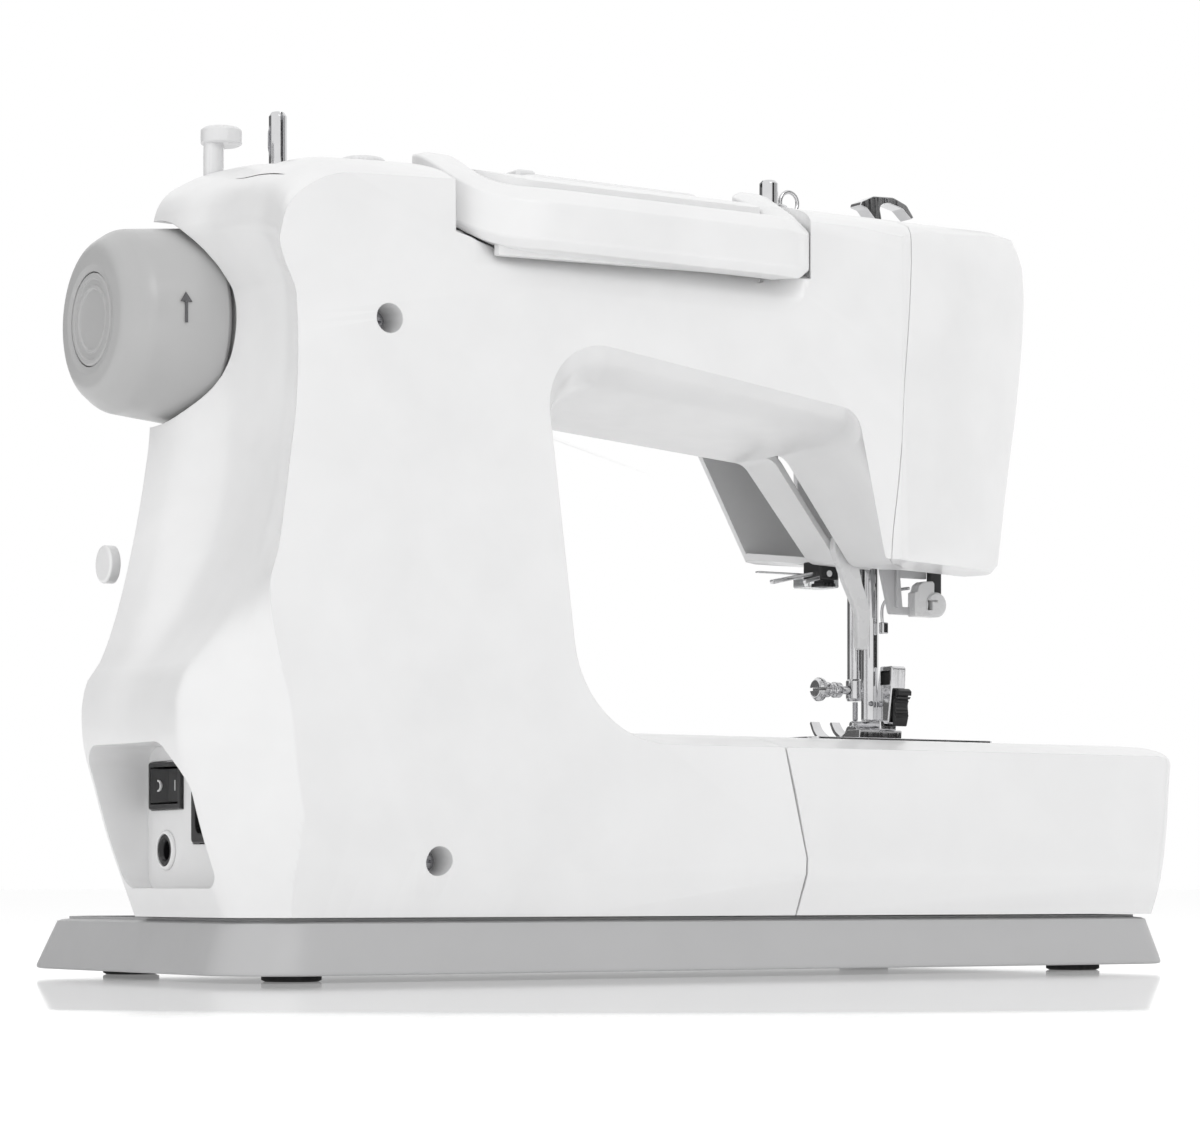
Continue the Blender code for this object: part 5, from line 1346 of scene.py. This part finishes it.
def presser_foot():
    """The sole, a bent plate with two upturned toes, ears and a cross pin."""
    z = PLATE_Z[1] + 0.3
    half = 9.5
    outline = [
        (-26.2, z + 7.2, 0.4), (-24.0, z + 3.4, 7), (-17.5, z, 9), (8.6, z, 0.3), (9, z + 3.6, 0.6),
        (1.6, z + 3.6, 0.8),
        (-2.6, z + 1.4, 1.6), (-18, z + 1.4, 8), (-23.0, z + 4.4, 7), (-25.2, z + 7.8, 0.4)]
    sole = slab("foot_sole", "X", outline, NEEDLE_X - half, NEEDLE_X + half, 0.3)
    gap = [(NEEDLE_X - 2.8, -40, 0), (NEEDLE_X + 2.8, -40, 0), (NEEDLE_X + 2.6, -6, 2.4),
           (NEEDLE_X - 2.6, -6, 2.4)]
    cut(sole, prism("toe_gap", "Z", filleted(gap), 70, 100))
    for side in (-1, 1):
        taper = [(NEEDLE_X + side * 5.6, -32, 0), (NEEDLE_X + side * 6.6, -24, 3),
                 (NEEDLE_X + side * (half + 0.1), -13, 6),
                 (NEEDLE_X + side * 20, -13, 0), (NEEDLE_X + side * 20, -32, 0)]
        cut(sole, prism("taper", "Z", filleted(taper), 70, 100))
    cut(sole, slab("under", "Y", [(NEEDLE_X - 3, 60, 0), (NEEDLE_X + 3, 60, 0),
                                  (NEEDLE_X + 3, z + 0.8, 0.6), (NEEDLE_X - 3, z + 0.8, 0.6)],
                   -2, 20, 0.1))
    for side in (-1, 1):
        x0, x1 = sorted((NEEDLE_X + side * 5, NEEDLE_X + side * 7))
        ear = [(-4.6, z + 1.0, 0.3), (4.8, z + 1.0, 0.3), (3.2, z + 5.2, 2.2), (-2.4, z + 5.2, 2.2)]
        join(sole, slab("ear", "X", ear, x0, x1, 0.25))
    join(sole, turned("pin", "X", (0, 0.8, 88),
                      [(NEEDLE_X - 7.6, 1.0, 0.3), (NEEDLE_X - 7, 1.3), (NEEDLE_X + 7, 1.3),
                       (NEEDLE_X + 7.6, 1.0, 0.3)], 28))
    finish_piece(sole, "sole", "chrome", ["presser_foot"])


def presser_lifter():
    """The curved white lever behind the bar, which raises the foot."""
    x, y, z = -100.0, 22.0, 177.0
    outline = [
        (x - 7, z, 4), (x - 3, z + 7, 5), (x + 4, z + 7, 5), (x + 8, z, 4), (-88, 158, 6), (-82.5, 150, 6),
        (-88.4, 137, 8),
        (-93.6, 127, 5), (-94.2, 113.5, 1.2), (-98.8, 113.5, 1.2), (-99.6, 128, 6), (-96.0, 137, 8),
        (-93, 150, 6),
    ]
    blade = slab("lifter_blade", "Y", outline, y - 1.6, y + 1.6, 0.7)
    cut(blade, rod("hole", "Y", (x, 0, z), 40, 2.5, 40))
    finish_piece(blade, "lifter", "white_knob", ["presser_lifter"])


def take_up_lever():
    """The thread take-up: a bent plate with an eye."""
    x0, x1 = span("take_up_lever", "X")
    outline = [(-28, 191, 3), (-20, 191, 3), (-19, 199, 3), (-43, 240, 4), (-48, 241.5, 2.4),
               (-50.5, 238.5, 2), (-48, 232, 3),
               (-31, 200, 6)]
    lever = slab("take_up_arm", "X", outline, x0, x1, 0.5)
    cut(lever, rod("eye", "X", (-140, -46.6, 237.5), 50, 1.5, 32),
        rod("bore", "X", (-140, -24, 196), 50, 2, 32))
    finish_piece(lever, "take_up", "chrome", ["take_up_lever"])


def threader():
    """The needle threader: a dark stem with a white lever, a slotted disc and a bent hook."""
    x, y = middle("needle_threader")[0] - 0.3, 18.0
    z = 131.0
    stem = rect(x - 3.2, y - 1.6, x + 1.8, y + 1.6, 0.8)
    finish_piece(slab("threader_stem", "Z", stem, z + 3, 192, 0.2), "threader", "dark_stem",
                 ["needle_threader"])
    disc = turned("threader_disc", "Y", (x, 0, z),
                  [(15.2, 4.0, 0.3), (15.6, 4.5, 0.4), (20.4, 4.5, 0.6), (21, 3.9, 0.4)], 72)
    reach = [(x + 0.6, z - 4.4, 0.6), (x + 9.4, z - 4.4, 0.6), (x + 9.4, z + 4.3, 0.5),
             (x + 8.4, z + 4.5, 0.4), (x + 7.6, z + 6.9, 1.6), (x + 5.6, z + 8.2, 1.4),
             (x + 1.4, z + 8.5, 0.6), (x + 0.6, z + 7.7, 0.4)]
    join(disc, slab("threader_arm", "Y", reach, 15.6, 20.2, 0.4))
    cut(disc, block("slot", (x + 2.2, 18.4, z - 2), (x + 4.0, 30, z + 1.6), 0.2),
        block("key", (x - 0.2, 19.6, z + 1.0), (x + 4, 30, z + 1.7), 0.1))
    finish_piece(disc, "threader", "white_knob")
    dark = block("threader_slot", (x + 2.25, 18.42, z - 1.95), (x + 3.95, 18.9, z + 1.55), 0.1)
    finish_piece(dark, "threader", "black_plastic")
    line = [(x + 8, 15.2, 137), (x + 11, 11, 136), (NEEDLE_X - 2.2, 7.2, 131), (NEEDLE_X - 2.2, 7, 123)]
    finish_piece(tube("threader_hook", curve_points(line), 0.6, 12), "threader", "chrome")
    nut = block("threader_fork", (NEEDLE_X - 4, 5.6, 120.8), (NEEDLE_X - 1.2, 8.4, 125.0), 0.4, "Z", 0.7)
    finish_piece(nut, "threader", "chrome")


def buttonhole_lever():
    """A flat tapering arm with a rib, a link and a crossbar."""
    outline = [(-117.5, 149.4, 0.5), (-108.8, 149.4, 0.5), (-109.3, 142, 3), (-113.2, 127.2, 1),
               (-119.0, 127.2, 1),
               (-117.8, 140, 3)]
    lever = slab("buttonhole_arm", "Y", outline, 14.9, 17.1, 0.5)
    rib = block("rib", (-116.2, 16.6, 129.6), (-115, 18.2, 148), 0.3)
    link = block("link", (-124.6, 15.2, 127.2), (-117, 16.8, 130.0), 0.3)
    crossbar = block("crossbar", (-129.6, 15.2, 140.4), (-116, 16.8, 143.6), 0.3)
    join(lever, rib, link, crossbar)
    finish_piece(lever, "buttonhole", "grey_lever", ["buttonhole_lever"])


def thread_cutter():
    """A black holder under the head with bent metal prongs and one screw."""
    holder = slab("cutter_holder", "Z", rect(-104, -12.5, -95.6, -1.5, 1), 140.2, 147, 0.5)
    join(holder, block("step", (-103, -9, 138.8), (-98, -3, 141), 0.4))
    teeth = [block("tooth", (-103.0 + 1.6 * k, -9.6, 137.9), (-102.2 + 1.6 * k, -2.6, 139.2),
                   0.1) for k in range(4)]
    join(holder, *teeth)
    finish_piece(holder, "machine", "black_plastic", ["thread_cutter"])
    screw = turned("cutter_screw", "Y", (-99.6, 0, 142.4), [(-2.6, 1.2), (-1.1, 1.2, 0.4)], 24)
    finish_piece(screw, "machine", "white_knob")
    finish_piece(block("cutter_blade", (-97, -10.8, 142.0), (-73.5, -8.6, 142.7), 0.2), "machine", "chrome")
    prong = slab("cutter_prong", "Y", [(-96, 143.4, 0.3), (-96, 142.0, 0.3), (-77, 137.8, 0.7),
                                       (-76.4, 139.4, 0.7)], -6.4, -4.2, 0.25)
    finish_piece(prong, "machine", "chrome")
    short = slab("cutter_guide", "Y", [(-96, 141.6, 0.3), (-96, 140.2, 0.3), (-89.6, 138.2, 0.5),
                                       (-89.2, 139.8, 0.5)], -3.6, -2.0, 0.2)
    finish_piece(short, "machine", "chrome")


def lamp():
    """The lamp's ribbed lens in the head's underside."""
    (x0, y0, z0), (x1, y1, z1) = low("lamp"), high("lamp")
    cover = slab("lamp_lens", "Z", rect(x0, y0 - SHIFT_Y, x1, y1 - SHIFT_Y, 2), z0, z1, 0.6)
    grooves = [box("groove", (x, -40, z0 - 1), (x + 0.5, -20, z0 + 0.35))
               for x in spaced(x0 + 1.5, x1 - 1, 7)]
    cut(cover, *grooves)
    finish_piece(cover, "machine", "clear_lens", ["lamp"])


def bobbin():
    """A clear bobbin with five holes in each flange."""
    _, y, _ = middle("bobbin")
    place = (NEEDLE_X, y - SHIFT_Y, 0)
    spool = turned("bobbin_spool", "Z", place, [(63.4, 10.2, 0.2), (64.4, 10.2, 0.2), (64.4, 4, 0.3),
                                                (74.4, 4, 0.3), (74.4, 10.2, 0.2),
                                                (75.4, 10.2, 0.2)], 72)
    cut(spool, rod("bore", "Z", (NEEDLE_X, y - SHIFT_Y, 60), 30, 2.8, 32))
    for z in (60, 74):
        for k in range(5):
            a = 2 * math.pi * k / 5
            cut(spool, rod("hole", "Z", (NEEDLE_X + 6.8 * math.cos(a), y - SHIFT_Y + 6.8 * math.sin(a), z),
                           5, 1.3, 20))
    finish_piece(spool, "bobbin_body", "clear_lens", ["bobbin"])


# ---------------------------------------------------------------- controls on the front
def dials():
    """The round dials, with fluted rims, dished faces and a pointer line; ticks are on the cover."""
    for node, (radius, height) in DIALS.items():
        x, _, z = middle(node)
        body = node.removesuffix("_dial")
        face = ARM_FRONT_Y - 0.4
        front = face - height
        profile = [
            (front + 0.6, radius * 0.62, 1.2), (front, radius * 0.72, 0.8), (front, radius - 1.4, 0.9),
            (front + 1.6, radius - 0.2, 1.2), (face - 0.8, radius, 0.3), (face, radius, 0.2), (face, 4.0),
            (-45.2, 4.0)]
        dial = turned(f"{node}_cap", "Y", (x, 0, z), profile, 180, 4, knurled(0.5, round(radius * 2.2)))
        cut(dial, block("pointer", (x - 0.5, front - 2, z + radius * 0.3),
                        (x + 0.5, front + 0.5, z + radius - 1.6), 0.1))
        finish_piece(dial, body, "white_knob", [node])
        line = block(f"{node}_pointer", (x - 0.42, front + 0.2, z + radius * 0.32),
                     (x + 0.42, front + 0.55, z + radius - 1.8), 0.05)
        finish_piece(line, body, "mark")
        ticks = []
        for k in range(11 if radius < 20 else 24):
            a = math.radians(225 - 27 * k) if radius < 20 else math.radians(15 * k)
            u, v = math.cos(a), math.sin(a)
            r0, r1 = radius + 2.0, radius + (4.6 if k % 5 == 0 else 3.4)
            side = 0.22
            quad = [(x + u * r0 - v * side, z + v * r0 + u * side),
                    (x + u * r0 + v * side, z + v * r0 - u * side),
                    (x + u * r1 + v * side, z + v * r1 - u * side),
                    (x + u * r1 - v * side, z + v * r1 + u * side)]
            ticks.append(prism("tick", "Y", quad, ARM_FRONT_Y - 0.05, ARM_FRONT_Y + 0.3))
        finish_piece(gather(f"{node}_ticks", ticks), "machine", "mark")


def reverse_lever():
    """The reverse paddle, with three grip lines."""
    x0, x1 = span("reverse_lever", "X")
    outline = [(-66, 130.6, 1.6), (-50, 129.5, 2), (-44.5, 131, 0.5), (-44.5, 139, 0.5), (-50, 140, 2),
               (-66, 136.4, 1.6)]
    lever = slab("reverse_paddle", "X", outline, x0, x1, 1.2)
    grooves = [block("groove", (x0 - 2, -67, z), (x1 + 2, -65.4, z + 0.5), 0.1)
               for z in (132.0, 133.4, 134.8)]
    cut(lever, *grooves)
    finish_piece(lever, "reverse", "white_knob", ["reverse_lever"])


# ---------------------------------------------------------------- camera, lights and floor
def camera():
    """Behind the machine and towards the handwheel end, level, with the frame shifted up to hold it."""
    made = bpy.data.objects.new("camera", bpy.data.cameras.new("camera"))
    made.location = (0.67796, 1.05947, 0.029657)
    made.rotation_euler = (math.radians(90), 0, math.radians(147.5))
    made.data.sensor_width = 36
    made.data.lens = 109.5
    made.data.shift_y = 0.2696
    made.data.clip_start = 0.05
    made.data.clip_end = 50
    bpy.context.scene.collection.objects.link(made)
    bpy.context.scene.camera = made


def light(name, place, target, size, power):
    data = bpy.data.lights.new(name, "AREA")
    data.shape = "DISK"
    data.size = size
    data.energy = power
    made = bpy.data.objects.new(name, data)
    made.location = place
    made.rotation_euler = (Vector(target) - Vector(place)).to_track_quat("-Z", "Y").to_euler()
    bpy.context.scene.collection.objects.link(made)


def floor():
    """A pale floor, glossy around the machine and matt further out."""
    bpy.ops.mesh.primitive_circle_add(vertices=96, radius=30, fill_type="NGON", location=(0, 0, 0))
    made = bpy.context.active_object
    made.name = "floor"
    n = Nodes("floor")
    n.set(Base_Color=(0.9, 0.9, 0.9, 1), IOR=1.5, Emission_Color=(1, 1, 1, 1), Emission_Strength=0.16)
    length = n.tree.nodes.new("ShaderNodeVectorMath")
    length.operation = "LENGTH"
    n.link(n.place, length.inputs[0])
    n.rough(n.ranged(length.outputs["Value"], 0.40, 0.50, 0.06, 0.7))
    n.link(n.ranged(length.outputs["Value"], 0.40, 0.50, 0.5, 0.0), n.shader.inputs["Specular IOR Level"])
    made.data.materials.append(n.material)


def surroundings():
    """A white studio with two soft dark panels, which chrome and glossy plastic pick up."""
    world = bpy.data.worlds.new("studio")
    world.use_nodes = True
    tree = world.node_tree
    place = tree.nodes.new("ShaderNodeTexCoord")
    strength = None
    for azimuth, start, end, dark in ((132, 0.74, 0.93, 0.04), (-62, 0.72, 0.95, 0.15)):
        facing = tree.nodes.new("ShaderNodeVectorMath")
        facing.operation = "DOT_PRODUCT"
        turn = math.radians(azimuth)
        facing.inputs[1].default_value = (math.cos(turn), math.sin(turn), 0.06)
        tree.links.new(place.outputs["Generated"], facing.inputs[0])
        shade = tree.nodes.new("ShaderNodeMapRange")
        shade.interpolation_type = "SMOOTHERSTEP"
        for key, number in (("From Min", start), ("From Max", end), ("To Min", 1.0), ("To Max", dark)):
            shade.inputs[key].default_value = number
        tree.links.new(facing.outputs["Value"], shade.inputs["Value"])
        product = tree.nodes.new("ShaderNodeMath")
        product.operation = "MULTIPLY"
        product.inputs[1].default_value = 1.0
        tree.links.new(shade.outputs["Result"], product.inputs[0])
        if strength is not None:
            tree.links.new(strength, product.inputs[1])
        strength = product.outputs[0]
    background = tree.nodes["Background"]
    background.inputs["Color"].default_value = (1, 1, 1, 1)
    tree.links.new(strength, background.inputs["Strength"])
    return world


def studio():
    scene = bpy.context.scene
    scene.world = surroundings()
    scene.view_settings.view_transform = "Standard"
    light("key", (0.3, 2.2, 1.9), (0, 0, 0.12), 1.3, 10)
    light("rim", (-1.8, 1.4, 1.0), (0, 0, 0.12), 1.2, 2)
    floor()


PIECES = (
    base_plate, feet, extension_table, table_lid, free_arm, needle_plate, bobbin_cover, carry_handle,
    handwheel, winder,
    top_dial, spool_rod, winder_tension, thread_guide, deck_details, switch_and_sockets, case_screws,
    round_cap, needle_bar,
    thumb_screw, presser_bar, foot_release, presser_foot, presser_lifter, take_up_lever, threader,
    buttonhole_lever,
    thread_cutter, lamp, bobbin, dials, reverse_lever,
)


def main():
    camera()
    casings()
    for make in PIECES:
        make()
    for name, node in frame["nodes"].items():
        slot = next(p["material_slot"] for p in frame["record"]["subparts"] if p["node"] == name)
        node.data.materials.clear()
        node.data.materials.append(MATERIALS[slot])
    studio()


main()
